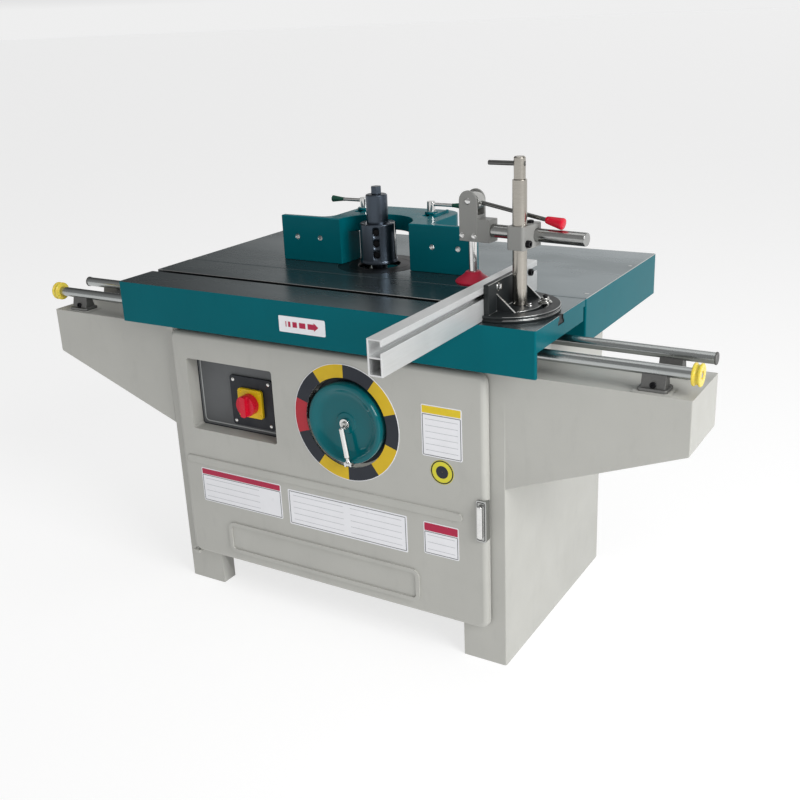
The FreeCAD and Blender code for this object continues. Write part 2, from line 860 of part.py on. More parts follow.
def spindle_shaft():
    return rod(spindle_x, spindle_y, shaft_low_z, shaft_radius, sleeve_high_z - shaft_low_z, Z_AXIS)


def pulley(x, y, z, radius, bore):
    pitch = pulley_height / (pulley_groove_count + 1)
    outline = [(bore, z), (radius, z)]
    for groove in range(pulley_groove_count):
        middle = z + (groove + 1) * pitch
        outline += [(radius, middle - pitch * pulley_groove_share), (radius - pulley_groove_depth, middle),
                    (radius, middle + pitch * pulley_groove_share)]
    outline += [(radius, z + pulley_height), (bore, z + pulley_height)]
    return revolve_z(x, y, outline)


def spindle_pulley():
    return pulley(spindle_x, spindle_y, shaft_low_z, pulley_radius, shaft_radius)


def motor_pulley():
    return pulley(spindle_x + motor_offset_x, spindle_y, shaft_low_z, motor_pulley_radius,
                  motor_shaft_radius)


def belt_loop(grow):
    x0 = spindle_x + motor_offset_x
    low = shaft_low_z + pulley_groove_depth
    high = shaft_low_z + pulley_height - pulley_groove_depth
    big = motor_pulley_radius + belt_clearance + grow
    small = pulley_radius + belt_clearance + grow
    span = -motor_offset_x
    lean = (big - small) / span
    rise = (1 - lean ** 2) ** 0.5
    points = [(x0 + big * lean, spindle_y + big * rise),
              (spindle_x + small * lean, spindle_y + small * rise),
              (spindle_x + small * lean, spindle_y - small * rise),
              (x0 + big * lean, spindle_y - big * rise)]
    loop = profile_xy(points, low, high)
    loop = loop.fuse(rod(x0, spindle_y, low, big, high - low, Z_AXIS))
    return loop.fuse(rod(spindle_x, spindle_y, low, small, high - low, Z_AXIS))


def drive_belt():
    return belt_loop(belt_thickness).cut(belt_loop(0)).removeSplitter()


def motor_plate():
    x0 = spindle_x + motor_offset_x
    low = motor_plate_z
    high = motor_plate_z + motor_plate_thickness
    plate = rod(x0, spindle_y, low, motor_flange_radius, high - low, Z_AXIS)
    plate = plate.fuse(block(x0, spindle_x - quill_radius - slide_clearance, spindle_y - quill_radius / 2,
                             spindle_y + quill_radius / 2, low, high))
    return plate.cut(rod(x0, spindle_y, low - overrun, motor_pulley_radius / 2,
                         high - low + 2 * overrun, Z_AXIS)).removeSplitter()


def motor():
    x0 = spindle_x + motor_offset_x
    low = motor_plate_z + motor_plate_thickness
    cover = motor_length * motor_cover_share
    body = rod(x0, spindle_y, low, motor_radius, motor_length - cover, Z_AXIS)
    body = body.fuse(rod(x0, spindle_y, low, motor_flange_radius, motor_flange_thickness, Z_AXIS))
    high = low + motor_length
    cap = revolve_z(x0, spindle_y, [(0, high - cover), (motor_radius, high - cover),
                                    (motor_radius, high - motor_fin_depth),
                                    (motor_radius - motor_fin_depth, high), (0, high)])
    for fin in range(motor_fin_count):
        groove = block(motor_radius - motor_fin_depth, motor_radius + overrun, -motor_fin_width / 2,
                       motor_fin_width / 2, low + motor_fin_low, low + motor_length - cover)
        groove.rotate(V(0, 0, 0), Z_AXIS, fin * 360 / motor_fin_count)
        groove.translate(V(x0, spindle_y, 0))
        body = body.cut(groove)
    body = body.fuse(cap)
    return body.cut(rod(x0, spindle_y, low - overrun, motor_shaft_radius + running_clearance,
                        motor_length / 2, Z_AXIS)).removeSplitter()


def motor_shaft():
    top = motor_plate_z + motor_plate_thickness + motor_length * motor_shaft_share
    return rod(spindle_x + motor_offset_x, spindle_y, shaft_low_z, motor_shaft_radius,
               top - shaft_low_z, Z_AXIS)


def cutter_drum():
    ring_top = drum_low_z + drum_ring_height
    outline = [(shaft_radius, drum_low_z), (drum_ring_radius, drum_low_z), (drum_ring_radius, ring_top),
               (drum_radius, ring_top), (drum_radius, drum_high_z - drum_chamfer),
               (drum_radius - drum_chamfer, drum_high_z), (shaft_radius, drum_high_z)]
    drum = revolve_z(spindle_x, spindle_y, outline)
    for screw in range(drum_screw_count):
        z = drum_low_z + drum_screw_first + screw * drum_screw_pitch
        hole = rod(spindle_x, spindle_y - drum_radius - overrun, z, drum_screw_radius,
                   drum_screw_depth + overrun, Y_AXIS)
        hole.rotate(V(spindle_x, spindle_y, 0), Z_AXIS, drum_screw_angle)
        drum = drum.cut(hole)
    slot = block(spindle_x - drum_slot_width / 2, spindle_x + drum_slot_width / 2,
                 spindle_y - drum_radius - overrun, spindle_y - drum_radius + drum_slot_depth,
                 ring_top, drum_high_z + overrun)
    slot.rotate(V(spindle_x, spindle_y, 0), Z_AXIS, drum_slot_angle)
    return drum.cut(slot)


def spacer_sleeve():
    return revolve_z(spindle_x, spindle_y, [(shaft_radius, drum_high_z), (sleeve_radius, drum_high_z),
                                            (sleeve_radius, sleeve_high_z - sleeve_chamfer),
                                            (sleeve_radius - sleeve_chamfer, sleeve_high_z),
                                            (shaft_radius, sleeve_high_z)])


def arbor_nut():
    return hex_prism(spindle_x, spindle_y, sleeve_high_z, arbor_nut_flats, arbor_nut_height)


# Tables

def fixed_table():
    under = plate_under_z
    low = cabinet_top_z
    top = rounded_block(-table_half, table_half, fixed_front_y, table_rear_y, low, table_top_z,
                        table_corner_radius, Z_AXIS)
    inner = block(-table_half + skirt_thickness, table_half - skirt_thickness,
                  fixed_front_y + skirt_thickness, table_rear_y - skirt_thickness, low - overrun, under)
    table = top.cut(inner)
    for side in (-1, 1):
        x = side * (table_half - table_rib_inset)
        table = table.fuse(block(x - skirt_thickness / 2, x + skirt_thickness / 2,
                                 fixed_front_y + skirt_thickness / 2,
                                 table_rear_y - skirt_thickness / 2, low, under + skirt_thickness / 2))
    boss_low = under - opening_seat_depth
    table = table.fuse(rod(spindle_x, spindle_y, boss_low, opening_radius + boss_wall,
                           under - boss_low, Z_AXIS))
    seat_z = table_top_z - opening_seat_depth
    table = table.cut(rod(spindle_x, spindle_y, seat_z, opening_radius,
                          opening_seat_depth + overrun, Z_AXIS))
    table = table.cut(rod(spindle_x, spindle_y, boss_low - overrun, opening_seat_radius,
                          table_top_z - boss_low, Z_AXIS))
    for x, y in stud_places():
        table = table.cut(rod(x, y, under - overrun, stud_radius, plate_thickness + 2 * overrun, Z_AXIS))
    return table.removeSplitter()


def outer_insert_ring():
    low = table_top_z - opening_seat_depth
    step = table_top_z - ring_step
    outer = opening_radius - slide_clearance
    return revolve_z(spindle_x, spindle_y, [(inner_ring_radius - ring_step, low), (outer, low),
                                            (outer, table_top_z), (inner_ring_radius, table_top_z),
                                            (inner_ring_radius, step),
                                            (inner_ring_radius - ring_step, step)])


def inner_insert_ring():
    return tube(spindle_x, spindle_y, table_top_z - ring_step, inner_ring_radius - slide_clearance,
                inner_ring_bore, ring_step, Z_AXIS)


def slot_cut(x0, x1, grow):
    top = table_top_z
    throat = block(x0, x1, slot_y - slot_width / 2 + grow, slot_y + slot_width / 2 - grow,
                   top - slot_depth + grow, top + overrun)
    foot = block(x0, x1, slot_y - slot_foot_width / 2 + grow, slot_y + slot_foot_width / 2 - grow,
                 top - slot_depth + grow, top - slot_depth + slot_foot_height - grow)
    return throat.fuse(foot)


def sliding_table():
    under = plate_under_z
    y0 = table_front_y
    y1 = table_front_y + sliding_depth
    table = rounded_block(-table_half, table_half, y0, y1, under, table_top_z, table_corner_radius, Z_AXIS)
    table = table.fuse(rounded_block(-table_half, table_half, y0, y0 + skirt_thickness,
                                     table_top_z - sliding_skirt_height, under, table_corner_radius, Z_AXIS))
    lip_low = table_top_z - end_lip_depth
    for side in (-1, 1):
        outer = side * table_half
        inner = side * (table_half - skirt_thickness)
        table = table.fuse(block(min(outer, inner), max(outer, inner), y0 + skirt_thickness / 2,
                                 y1 - skirt_thickness, lip_low, under))
    boss_low = under - slot_boss_height
    table = table.fuse(block(-table_half + skirt_thickness / 2, table_half - skirt_thickness / 2,
                             slot_y - slot_boss_width / 2, slot_y + slot_boss_width / 2, boss_low, under))
    reach = bearing_length / 2 + sliding_rib_gap + skirt_thickness / 2
    for x in (-bearing_x - reach, -bearing_x + reach, 0, bearing_x - reach, bearing_x + reach):
        table = table.fuse(block(x - skirt_thickness / 2, x + skirt_thickness / 2, y0 + skirt_thickness / 2,
                                 y1 - skirt_thickness, under - sliding_rib_height, under))
    table = table.cut(slot_cut(-table_half - overrun, table_half + overrun, 0))
    return table.removeSplitter()


def bearing_blocks():
    blocks = []
    low = rail_z - rail_radius - bearing_wall
    for side in (-1, 1):
        for y in (front_rail_y, rear_rail_y):
            half = bearing_length / 2
            case = block(side * bearing_x - half, side * bearing_x + half, y - bearing_width / 2,
                         y + bearing_width / 2, low, plate_under_z)
            lower = [edge for edge in edges_along(case, X_AXIS)
                     if edge.Vertexes[0].Z < rail_z]
            case = case.makeChamfer(bearing_chamfer, lower)
            case = case.cut(rod(side * bearing_x - half - overrun, y, rail_z, rail_radius + running_clearance,
                                bearing_length + 2 * overrun, X_AXIS))
            blocks.append(case)
    return Part.makeCompound(blocks)


# Rails

def rail(y):
    return rod(-rail_half_length, y, rail_z, rail_radius, 2 * rail_half_length, X_AXIS)


def rail_support(x, y):
    low = outrigger_top_z + pad_height
    flange = rounded_block(x - support_flange_width / 2, x + support_flange_width / 2,
                           y - support_flange_depth / 2, y + support_flange_depth / 2,
                           low, low + support_flange_thickness, support_flange_thickness, Z_AXIS)
    high = rail_z - support_lip
    stem = profile_yz([(y - support_foot_depth / 2, low), (y + support_foot_depth / 2, low),
                       (y + support_neck_depth / 2, high), (y - support_neck_depth / 2, high)],
                      x - support_width / 2, x + support_width / 2)
    piece = flange.fuse(stem)
    piece = piece.cut(rod(x - support_width, y, rail_z, rail_radius, 2 * support_width, X_AXIS))
    return piece.removeSplitter()


def rail_supports():
    return Part.makeCompound([rail_support(side * support_x, y)
                              for side in (-1, 1) for y in (front_rail_y, rear_rail_y)])


def rail_caps():
    tip = rail_half_length + cap_end_wall
    start = tip - cap_length
    groove = cap_radius - cap_groove_depth
    corners = [V(start, 0, rail_radius), V(start, 0, cap_radius), V(start + cap_flange, 0, cap_radius),
               V(start + cap_flange, 0, groove), V(tip - cap_flange, 0, groove),
               V(tip - cap_flange, 0, cap_radius), V(tip, 0, cap_radius), V(tip, 0, 0),
               V(rail_half_length, 0, 0), V(rail_half_length, 0, rail_radius)]
    cap = Part.Face(Part.makePolygon(corners + corners[:1])).revolve(V(0, 0, 0), X_AXIS, 360)
    cap.translate(V(0, front_rail_y, rail_z))
    return Part.makeCompound([cap.mirror(V(0, 0, 0), X_AXIS), cap])


# Fence hood and locks

def stud_places():
    return [(spindle_x - stud_offset_x, spindle_y + stud_offset_y),
            (spindle_x + stud_offset_x, spindle_y + stud_offset_y)]


def hood_low_z():
    return table_top_z + hood_lift


def hood_x():
    return spindle_x + hood_offset_x


def hood_yoke(low, high):
    yoke = block(hood_x() - hood_left_reach, hood_x() + hood_right_reach, hood_front_y,
                 hood_front_y + hood_depth, low, high)
    rear = [edge for edge in edges_along(yoke, Z_AXIS) if edge.Vertexes[0].Y > hood_front_y + overrun]
    yoke = yoke.makeFillet(hood_corner_radius, rear)
    back_y = hood_front_y + hood_plate_thickness
    for side, reach in ((-1, hood_left_reach), (1, hood_right_reach)):
        inner = hood_x() + side * reach
        outer = inner + side * hood_web_radius
        web = block(min(inner, outer), max(inner, outer), back_y, back_y + hood_web_radius, low, high)
        yoke = yoke.fuse(web.cut(rod(outer, back_y + hood_web_radius, low - overrun, hood_web_radius,
                                     high - low + 2 * overrun, Z_AXIS)))
    return yoke


def hood_slots(low, height):
    reach = stud_radius + slide_clearance
    cut = None
    for x, y in stud_places():
        slot = rod(x, y, low, reach, height, Z_AXIS)
        slot = slot.fuse(rod(x, y - hood_travel, low, reach, height, Z_AXIS))
        slot = slot.fuse(block(x - reach, x + reach, y - hood_travel, y, low, low + height))
        cut = slot if cut is None else cut.fuse(slot)
    return cut


def fence_hood():
    low = hood_low_z()
    high = table_top_z + hood_height
    yoke_low = high - hood_yoke_height
    body = hood_yoke(yoke_low, high)
    for side in (-1, 1):
        inner = hood_x() + side * (hood_inner_radius - hood_throat_lead)
        outer = hood_x() + side * (hood_inner_radius + hood_plate_width)
        body = body.fuse(block(min(inner, outer), max(inner, outer), hood_front_y,
                               hood_front_y + hood_plate_thickness, low, high))
        wall = inner + side * hood_plate_thickness
        body = body.fuse(block(min(inner, wall), max(inner, wall), hood_front_y + hood_plate_thickness / 2,
                               hood_front_y + hood_wall_depth, low, yoke_low + hood_edge_radius))
    body = body.cut(rod(hood_x(), hood_front_y - hood_throat_lead, low - overrun, hood_inner_radius,
                        hood_height + 2 * overrun, Z_AXIS))
    for side in (-1, 1):
        for hole in (0, 1):
            reach = hood_plate_width - hood_hole_inset - hole * hood_hole_pitch
            x = hood_x() + side * (hood_inner_radius + reach)
            body = body.cut(rod(x, hood_front_y - overrun, table_top_z + hood_hole_z, hood_hole_radius,
                                hood_plate_thickness + 2 * overrun, Y_AXIS))
    body = body.cut(hood_slots(yoke_low - overrun, hood_yoke_height + 2 * overrun)).removeSplitter()
    front = [edge for edge in body.Edges if all(abs(v.Z - high) < running_clearance for v in edge.Vertexes)
             and edge.BoundBox.YMax < hood_front_y + running_clearance]
    body = body.makeFillet(hood_edge_radius, front)
    stud_x, stud_y = stud_places()[1]
    rib_x = stud_x + hood_rib_offset
    rib_y = stud_y - hood_travel
    rib = rounded_block(rib_x, rib_x + hood_rib_width, rib_y, rib_y + hood_rib_length,
                        high - hood_edge_radius, high + hood_rib_height, hood_edge_radius, Z_AXIS)
    return body.fuse(rib).removeSplitter()


def hood_studs():
    low = plate_under_z
    high = table_top_z + hood_height + stud_collar_height + lock_hub_height / 2
    return Part.makeCompound([rod(x, y, low, stud_radius, high - low, Z_AXIS) for x, y in stud_places()])


def lock_lever(side):
    x, y = stud_places()[0 if side < 0 else 1]
    low = table_top_z + hood_height + slide_clearance
    hub = rod(x, y, low, stud_collar_radius, stud_collar_height, Z_AXIS)
    hub = hub.fuse(rod(x, y, low, lock_hub_radius, stud_collar_height + lock_hub_height, Z_AXIS))
    bar_high = low + stud_collar_height + lock_hub_height - lock_rod_radius - hood_edge_radius
    arm = rod(x, y, bar_high, lock_rod_radius, lock_rod_length, V(side, 0, 0))
    grip = Part.makeCone(lock_rod_radius + running_clearance, lock_grip_radius, lock_grip_length,
                         V(x + side * (lock_rod_length - lock_grip_length / 2), y, bar_high), V(side, 0, 0))
    lever = hub.fuse(arm).fuse(grip)
    seat = rod(x, y, low - overrun, stud_radius + running_clearance,
               overrun + stud_collar_height + lock_hub_height / 2, Z_AXIS)
    return lever.cut(seat).removeSplitter()


# Mitre gauge

def guide_bar():
    x1 = table_half - guide_bar_end_inset
    x0 = x1 - guide_bar_length
    bar = slot_cut(x0, x1, slide_clearance)
    keep = block(x0 - overrun, x1 + overrun, slot_y - slot_foot_width, slot_y + slot_foot_width,
                 table_top_z - slot_depth - overrun, table_top_z - slide_clearance)
    bar = bar.common(keep)
    pin = rod(gauge_x, slot_y, table_top_z - slot_depth / 2, gauge_pin_radius,
              slot_depth / 2 + gauge_pin_height, Z_AXIS)
    return bar.fuse(pin).removeSplitter()


def gauge_low_z():
    return table_top_z + slide_clearance


def gauge_arc_slot(low):
    cut = None
    for step in range(gauge_slot_steps):
        share = step / (gauge_slot_steps - 1)
        angle = gauge_slot_half_angle * (2 * share - 1)
        piece = rod(gauge_x + gauge_slot_radius, slot_y, low - overrun, gauge_slot_width / 2,
                    gauge_base_thickness + 2 * overrun, Z_AXIS)
        piece.rotate(V(gauge_x, slot_y, 0), Z_AXIS, angle)
        cut = piece if cut is None else cut.fuse(piece)
    ring = tube(gauge_x, slot_y, low - overrun, gauge_slot_radius + gauge_slot_width / 2,
                gauge_slot_radius - gauge_slot_width / 2, gauge_base_thickness + 2 * overrun, Z_AXIS)
    far = 2 * gauge_radius
    lean = FreeCAD.Rotation(Z_AXIS, gauge_slot_half_angle).multVec(V(far, 0, 0))
    wedge = profile_xy([(gauge_x, slot_y), (gauge_x + lean.x, slot_y - lean.y),
                        (gauge_x + far, slot_y - lean.y), (gauge_x + far, slot_y + lean.y),
                        (gauge_x + lean.x, slot_y + lean.y)],
                       low - overrun, low + gauge_base_thickness + overrun)
    return cut.fuse(ring.common(wedge))


def gauge_head():
    low = gauge_low_z()
    plate_x0 = gauge_x - gauge_plate_thickness / 2
    base = rod(gauge_x, slot_y, low, gauge_radius, gauge_base_thickness, Z_AXIS)
    base = base.cut(block(gauge_x - 2 * gauge_radius, plate_x0, slot_y - 2 * gauge_radius,
                          slot_y + 2 * gauge_radius, low - overrun, low + gauge_base_thickness + overrun))
    base = base.cut(tube(gauge_x, slot_y, low + gauge_rim_low, gauge_radius + overrun,
                         gauge_radius - gauge_rim_groove, gauge_rim_groove, Z_AXIS))
    base = base.cut(gauge_arc_slot(low))
    body = base.fuse(block(plate_x0, plate_x0 + gauge_plate_thickness, slot_y - gauge_plate_front,
                           slot_y + gauge_plate_rear, low, low + gauge_plate_height))
    rib_low = low + gauge_base_thickness / 2
    rib_tip = gauge_x + gauge_rib_length
    for side in (-1, 1):
        y = slot_y + side * gauge_rib_offset
        rib = [(gauge_x, rib_low), (rib_tip, rib_low), (rib_tip, low + gauge_base_thickness),
               (gauge_x, low + gauge_plate_height - gauge_rib_drop)]
        body = body.fuse(profile_xz(rib, y - gauge_rib_thickness / 2, y + gauge_rib_thickness / 2))
    body = body.cut(rod(gauge_x, slot_y, low - overrun, gauge_pin_radius + running_clearance,
                        gauge_pin_height + overrun, Z_AXIS))
    return body.removeSplitter()


def gauge_lock_bolt():
    low = gauge_low_z() + gauge_base_thickness + slide_clearance
    washer = rod(gauge_x + gauge_slot_radius, slot_y, low, lock_washer_radius, lock_washer_thickness, Z_AXIS)
    head = hex_prism(gauge_x + gauge_slot_radius, slot_y, low + lock_washer_thickness, lock_bolt_flats,
                     lock_bolt_height)
    stem = rod(gauge_x + gauge_slot_radius, slot_y, gauge_low_z(), lock_bolt_radius,
               gauge_base_thickness + slide_clearance, Z_AXIS)
    bolt = washer.fuse(head).fuse(stem).removeSplitter()
    bolt.rotate(V(gauge_x, slot_y, 0), Z_AXIS, gauge_lock_angle)
    return bolt


def gauge_fence():
    x1 = gauge_x - gauge_plate_thickness / 2 - slide_clearance
    x0 = x1 - fence_width
    y0 = table_front_y - gauge_fence_overhang
    y1 = y0 + fence_length
    low = table_top_z + fence_lift
    high = low + fence_height
    web_high = high - fence_web_drop
    slot_high = high - fence_slot_drop
    bar = block(x0, x1, y0, y1, low, high)
    for z0, z1 in ((low + fence_wall, web_high - fence_wall), (web_high, high - fence_wall)):
        bar = bar.cut(block(x0 + fence_wall, x1 - fence_wall, y0 - overrun, y1 + overrun, z0, z1))
    return bar.cut(block(x1 - fence_wall - overrun, x1 + overrun, y0 - overrun, y1 + overrun,
                         slot_high - fence_slot_width, slot_high))


# Mast and clamp

def mast_x():
    return gauge_x + mast_offset_x


def mast():
    low = gauge_low_z() + gauge_base_thickness
    post = rod(mast_x(), slot_y, low, mast_radius, mast_shoulder_z - low, Z_AXIS)
    seat = rod(mast_x(), slot_y, mast_shoulder_z - mast_head_radius, mast_stem_radius + running_clearance,
               mast_head_radius + overrun, Z_AXIS)
    return post.cut(seat)


def mast_head():
    low = mast_shoulder_z + slide_clearance
    head = revolve_z(mast_x(), slot_y, [(0, low), (mast_head_radius, low),
                                        (mast_head_radius, mast_top_z - sleeve_chamfer),
                                        (mast_head_radius - sleeve_chamfer, mast_top_z), (0, mast_top_z)])
    stem = rod(mast_x(), slot_y, low - mast_head_radius, mast_stem_radius, mast_head_radius, Z_AXIS)
    hole = rod(mast_x() - mast_head_radius - overrun, slot_y, tommy_z, tommy_radius + running_clearance,
               2 * (mast_head_radius + overrun), X_AXIS)
    return head.fuse(stem).cut(hole).removeSplitter()


def tommy_bar():
    return rod(mast_x() - tommy_reach, slot_y, tommy_z, tommy_radius, tommy_reach + tommy_tail, X_AXIS)


def bar_y():
    return slot_y + bar_offset_y


def on_turned_arm(shape):
    shape.rotate(V(mast_x(), slot_y, 0), Z_AXIS, -arm_rest_turn)
    return shape


def cross_clamp():
    half = cross_width / 2
    body = rounded_block(mast_x() - half, mast_x() + half, slot_y - half, bar_y() + half,
                         cross_low_z, cross_high_z, cross_corner_radius, Z_AXIS)
    body = body.cut(rod(mast_x(), slot_y, cross_low_z - overrun, mast_radius + running_clearance,
                        cross_high_z - cross_low_z + 2 * overrun, Z_AXIS))
    body = body.cut(rod(mast_x() - half - overrun, bar_y(), bar_z, bar_radius + running_clearance,
                        cross_width + 2 * overrun, X_AXIS))
    return on_turned_arm(body)


def clamp_bar():
    return on_turned_arm(rod(bar_left_x, bar_y(), bar_z, bar_radius, bar_length, X_AXIS))


def clamp_head():
    half = head_width / 2
    y0 = bar_y() - head_gap / 2
    y1 = bar_y() + head_gap / 2
    body = block(head_x - half, head_x + half, y0, y1, head_low_z, head_low_z + head_block_height)
    arm_x = head_x + head_arm_reach
    body = body.fuse(block(head_x, arm_x, bar_y() - head_arm_depth / 2, bar_y() + head_arm_depth / 2,
                           bar_z - head_arm_height / 2, bar_z + head_arm_height / 2))
    for y in (y0 - head_plate_thickness, y1):
        plate = block(head_x - half, head_x + half, y, y + head_plate_thickness, head_low_z, head_pivot_z)
        plate = plate.fuse(rod(head_x, y, head_pivot_z, half, head_plate_thickness, Y_AXIS))
        plate = plate.cut(rod(head_x, y - overrun, head_pivot_z, cam_pin_radius + running_clearance,
                              head_plate_thickness + 2 * overrun, Y_AXIS))
        body = body.fuse(plate)
    body = body.cut(rod(bar_left_x, bar_y(), bar_z, bar_radius, arm_x - bar_left_x + overrun, X_AXIS))
    body = body.cut(rod(head_x, bar_y(), head_low_z - overrun, press_radius + running_clearance,
                        head_block_height + 2 * overrun, Z_AXIS))
    return on_turned_arm(body.removeSplitter())


def lever_direction():
    return FreeCAD.Rotation(Y_AXIS, lever_drop_angle).multVec(X_AXIS)


def cam_centre():
    shift = FreeCAD.Rotation(Y_AXIS, -cam_phase).multVec(V(0, 0, -cam_shift))
    return V(head_x, bar_y(), head_pivot_z) + shift


def cam_lever():
    y0 = bar_y() - head_gap / 2 + slide_clearance
    width = head_gap - 2 * slide_clearance
    cam = rod(cam_centre().x, y0, cam_centre().z, cam_radius, width, Y_AXIS)
    pin = rod(head_x, bar_y() - head_gap / 2 - head_plate_thickness, head_pivot_z, cam_pin_radius,
              head_gap + 2 * head_plate_thickness, Y_AXIS)
    arm = Part.makeCylinder(lever_radius, cam_radius + lever_length, V(head_x, bar_y(), head_pivot_z),
                            lever_direction())
    return on_turned_arm(cam.fuse(pin).fuse(arm).removeSplitter())


def lever_knob():
    start = V(head_x, bar_y(), head_pivot_z) + lever_direction() * (cam_radius + lever_length)
    grip = Part.makeCone(knob_small_radius, knob_big_radius, red_knob_length, start, lever_direction())
    rims = [edge for edge in grip.Edges if edge.Closed]
    return on_turned_arm(grip.makeFillet(knob_edge_radius, rims))


def press_rod():
    low = press_foot_z - foot_socket
    high = cam_centre().z - cam_radius - press_gap
    return on_turned_arm(rod(head_x, bar_y(), low, press_radius, high - low, Z_AXIS))


def press_foot():
    outline = [(0, foot_low_z), (foot_radius - foot_rim_inset, foot_low_z),
               (foot_radius, foot_low_z + foot_rim / 2), (foot_radius - foot_rim_inset, foot_low_z + foot_rim),
               (foot_neck_radius, press_foot_z), (press_radius, press_foot_z),
               (press_radius, press_foot_z - foot_socket), (0, press_foot_z - foot_socket)]
    return on_turned_arm(revolve_z(head_x, bar_y(), outline))


NODES = {
    "cabinet": cabinet(),
    "left_outrigger": outrigger(-1),
    "right_outrigger": outrigger(1),
    "door_pivots": door_pivots(),
    "front_door": front_door(),
    "dial_ring": dial_ring(),
    "door_latch_plate": door_latch_plate(),
    "door_latch_lever": door_latch_lever(),
    "switch_plate": switch_plate(),
    "switch_base": switch_base(),
    "switch_knob": switch_knob(),
    "handwheel": handwheel(),
    "handwheel_shaft": handwheel_shaft(),
    "wheel_fittings": wheel_fittings(),
    "handwheel_handle": handwheel_handle(),
    "lift_gearbox": lift_gearbox(),
    "gearbox_hanger": gearbox_hanger(),
    "lead_screw": lead_screw(),
    "lead_nut": lead_nut(),
    "guide_posts": guide_posts(),
    "guide_foot_plate": guide_foot_plate(),
    "spindle_carriage": spindle_carriage(),
    "spindle_bearings": spindle_bearings(),
    "spindle_shaft": spindle_shaft(),
    "spindle_pulley": spindle_pulley(),
    "drive_belt": drive_belt(),
    "motor": motor(),
    "motor_plate": motor_plate(),
    "motor_shaft": motor_shaft(),
    "motor_pulley": motor_pulley(),
    "cutter_drum": cutter_drum(),
    "spacer_sleeve": spacer_sleeve(),
    "arbor_nut": arbor_nut(),
    "fixed_table": fixed_table(),
    "outer_insert_ring": outer_insert_ring(),
    "inner_insert_ring": inner_insert_ring(),
    "fence_hood": fence_hood(),
    "hood_studs": hood_studs(),
    "left_lock_lever": lock_lever(-1),
    "right_lock_lever": lock_lever(1),
    "sliding_table": sliding_table(),
    "bearing_blocks": bearing_blocks(),
    "front_rail": rail(front_rail_y),
    "rear_rail": rail(rear_rail_y),
    "rail_supports": rail_supports(),
    "rail_caps": rail_caps(),
    "guide_bar": guide_bar(),
    "gauge_head": gauge_head(),
    "gauge_lock_bolt": gauge_lock_bolt(),
    "gauge_fence": gauge_fence(),
    "mast": mast(),
    "mast_head": mast_head(),
    "tommy_bar": tommy_bar(),
    "cross_clamp": cross_clamp(),
    "clamp_bar": clamp_bar(),
    "clamp_head": clamp_head(),
    "cam_lever": cam_lever(),
    "lever_knob": lever_knob(),
    "press_rod": press_rod(),
    "press_foot": press_foot(),
}

os.makedirs("parts", exist_ok=True)
for name, shape in NODES.items():
    shape.exportStep("parts/" + name + ".step")
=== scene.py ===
import json
import math
import bpy
import bmesh
from mathutils import Matrix, Vector


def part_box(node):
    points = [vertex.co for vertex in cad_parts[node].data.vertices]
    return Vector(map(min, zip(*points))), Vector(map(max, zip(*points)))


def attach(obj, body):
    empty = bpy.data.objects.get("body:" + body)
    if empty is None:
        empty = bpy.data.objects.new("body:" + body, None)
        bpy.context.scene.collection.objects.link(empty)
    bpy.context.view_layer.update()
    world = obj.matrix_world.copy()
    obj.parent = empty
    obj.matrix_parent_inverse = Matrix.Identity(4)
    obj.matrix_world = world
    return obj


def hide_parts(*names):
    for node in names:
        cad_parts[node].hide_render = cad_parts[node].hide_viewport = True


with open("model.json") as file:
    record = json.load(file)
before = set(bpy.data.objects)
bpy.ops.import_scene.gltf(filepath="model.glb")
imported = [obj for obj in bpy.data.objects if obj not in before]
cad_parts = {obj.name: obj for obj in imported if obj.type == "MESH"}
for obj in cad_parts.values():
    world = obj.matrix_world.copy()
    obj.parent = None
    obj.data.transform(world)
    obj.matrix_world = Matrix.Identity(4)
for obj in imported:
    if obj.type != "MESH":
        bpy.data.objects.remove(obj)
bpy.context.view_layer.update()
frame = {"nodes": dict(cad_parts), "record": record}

BEHAVIOUR = frame["record"]["behaviour"]
HOME = {node: body for body, nodes in BEHAVIOUR["bodies"].items() for node in nodes}
JOINT = {joint["name"]: joint for joint in BEHAVIOUR["joints"]}
FINISH = {}

# Depth that a laid-on piece sinks into what carries it, in metres
TOUCH = 0.0002
ORIGIN = (0, 0, 0)
UP = (0, 0, 1)
FRONT = (0, -1, 0)
REAR = (0, 1, 0)
RIGHT = (1, 0, 0)


# Finishes

def new_finish(name):
    finish = bpy.data.materials.new(name)
    finish.use_nodes = True
    tree = finish.node_tree
    FINISH[name] = finish
    return tree, tree.nodes["Principled BSDF"]


def speckle(tree, scale, detail, stretch=(1, 1, 1), rough=0.55):
    place = tree.nodes.new("ShaderNodeTexCoord")
    turn = tree.nodes.new("ShaderNodeMapping")
    turn.inputs["Scale"].default_value = stretch
    noise = tree.nodes.new("ShaderNodeTexNoise")
    noise.inputs["Scale"].default_value = scale
    noise.inputs["Detail"].default_value = detail
    noise.inputs["Roughness"].default_value = rough
    tree.links.new(place.outputs["Object"], turn.inputs["Vector"])
    tree.links.new(turn.outputs["Vector"], noise.inputs["Vector"])
    return noise.outputs["Fac"]


def spread(tree, fac, low, high, start=0.3, end=0.7):
    reach = tree.nodes.new("ShaderNodeMapRange")
    reach.inputs["From Min"].default_value = start
    reach.inputs["From Max"].default_value = end
    reach.inputs["To Min"].default_value = low
    reach.inputs["To Max"].default_value = high
    tree.links.new(fac, reach.inputs["Value"])
    return reach.outputs["Result"]


def tint(tree, fac, dark, light, start=0.3, end=0.7):
    ramp = tree.nodes.new("ShaderNodeValToRGB")
    ramp.color_ramp.elements[0].position = start
    ramp.color_ramp.elements[0].color = (*dark, 1)
    ramp.color_ramp.elements[1].position = end
    ramp.color_ramp.elements[1].color = (*light, 1)
    tree.links.new(fac, ramp.inputs["Fac"])
    return ramp.outputs["Color"]


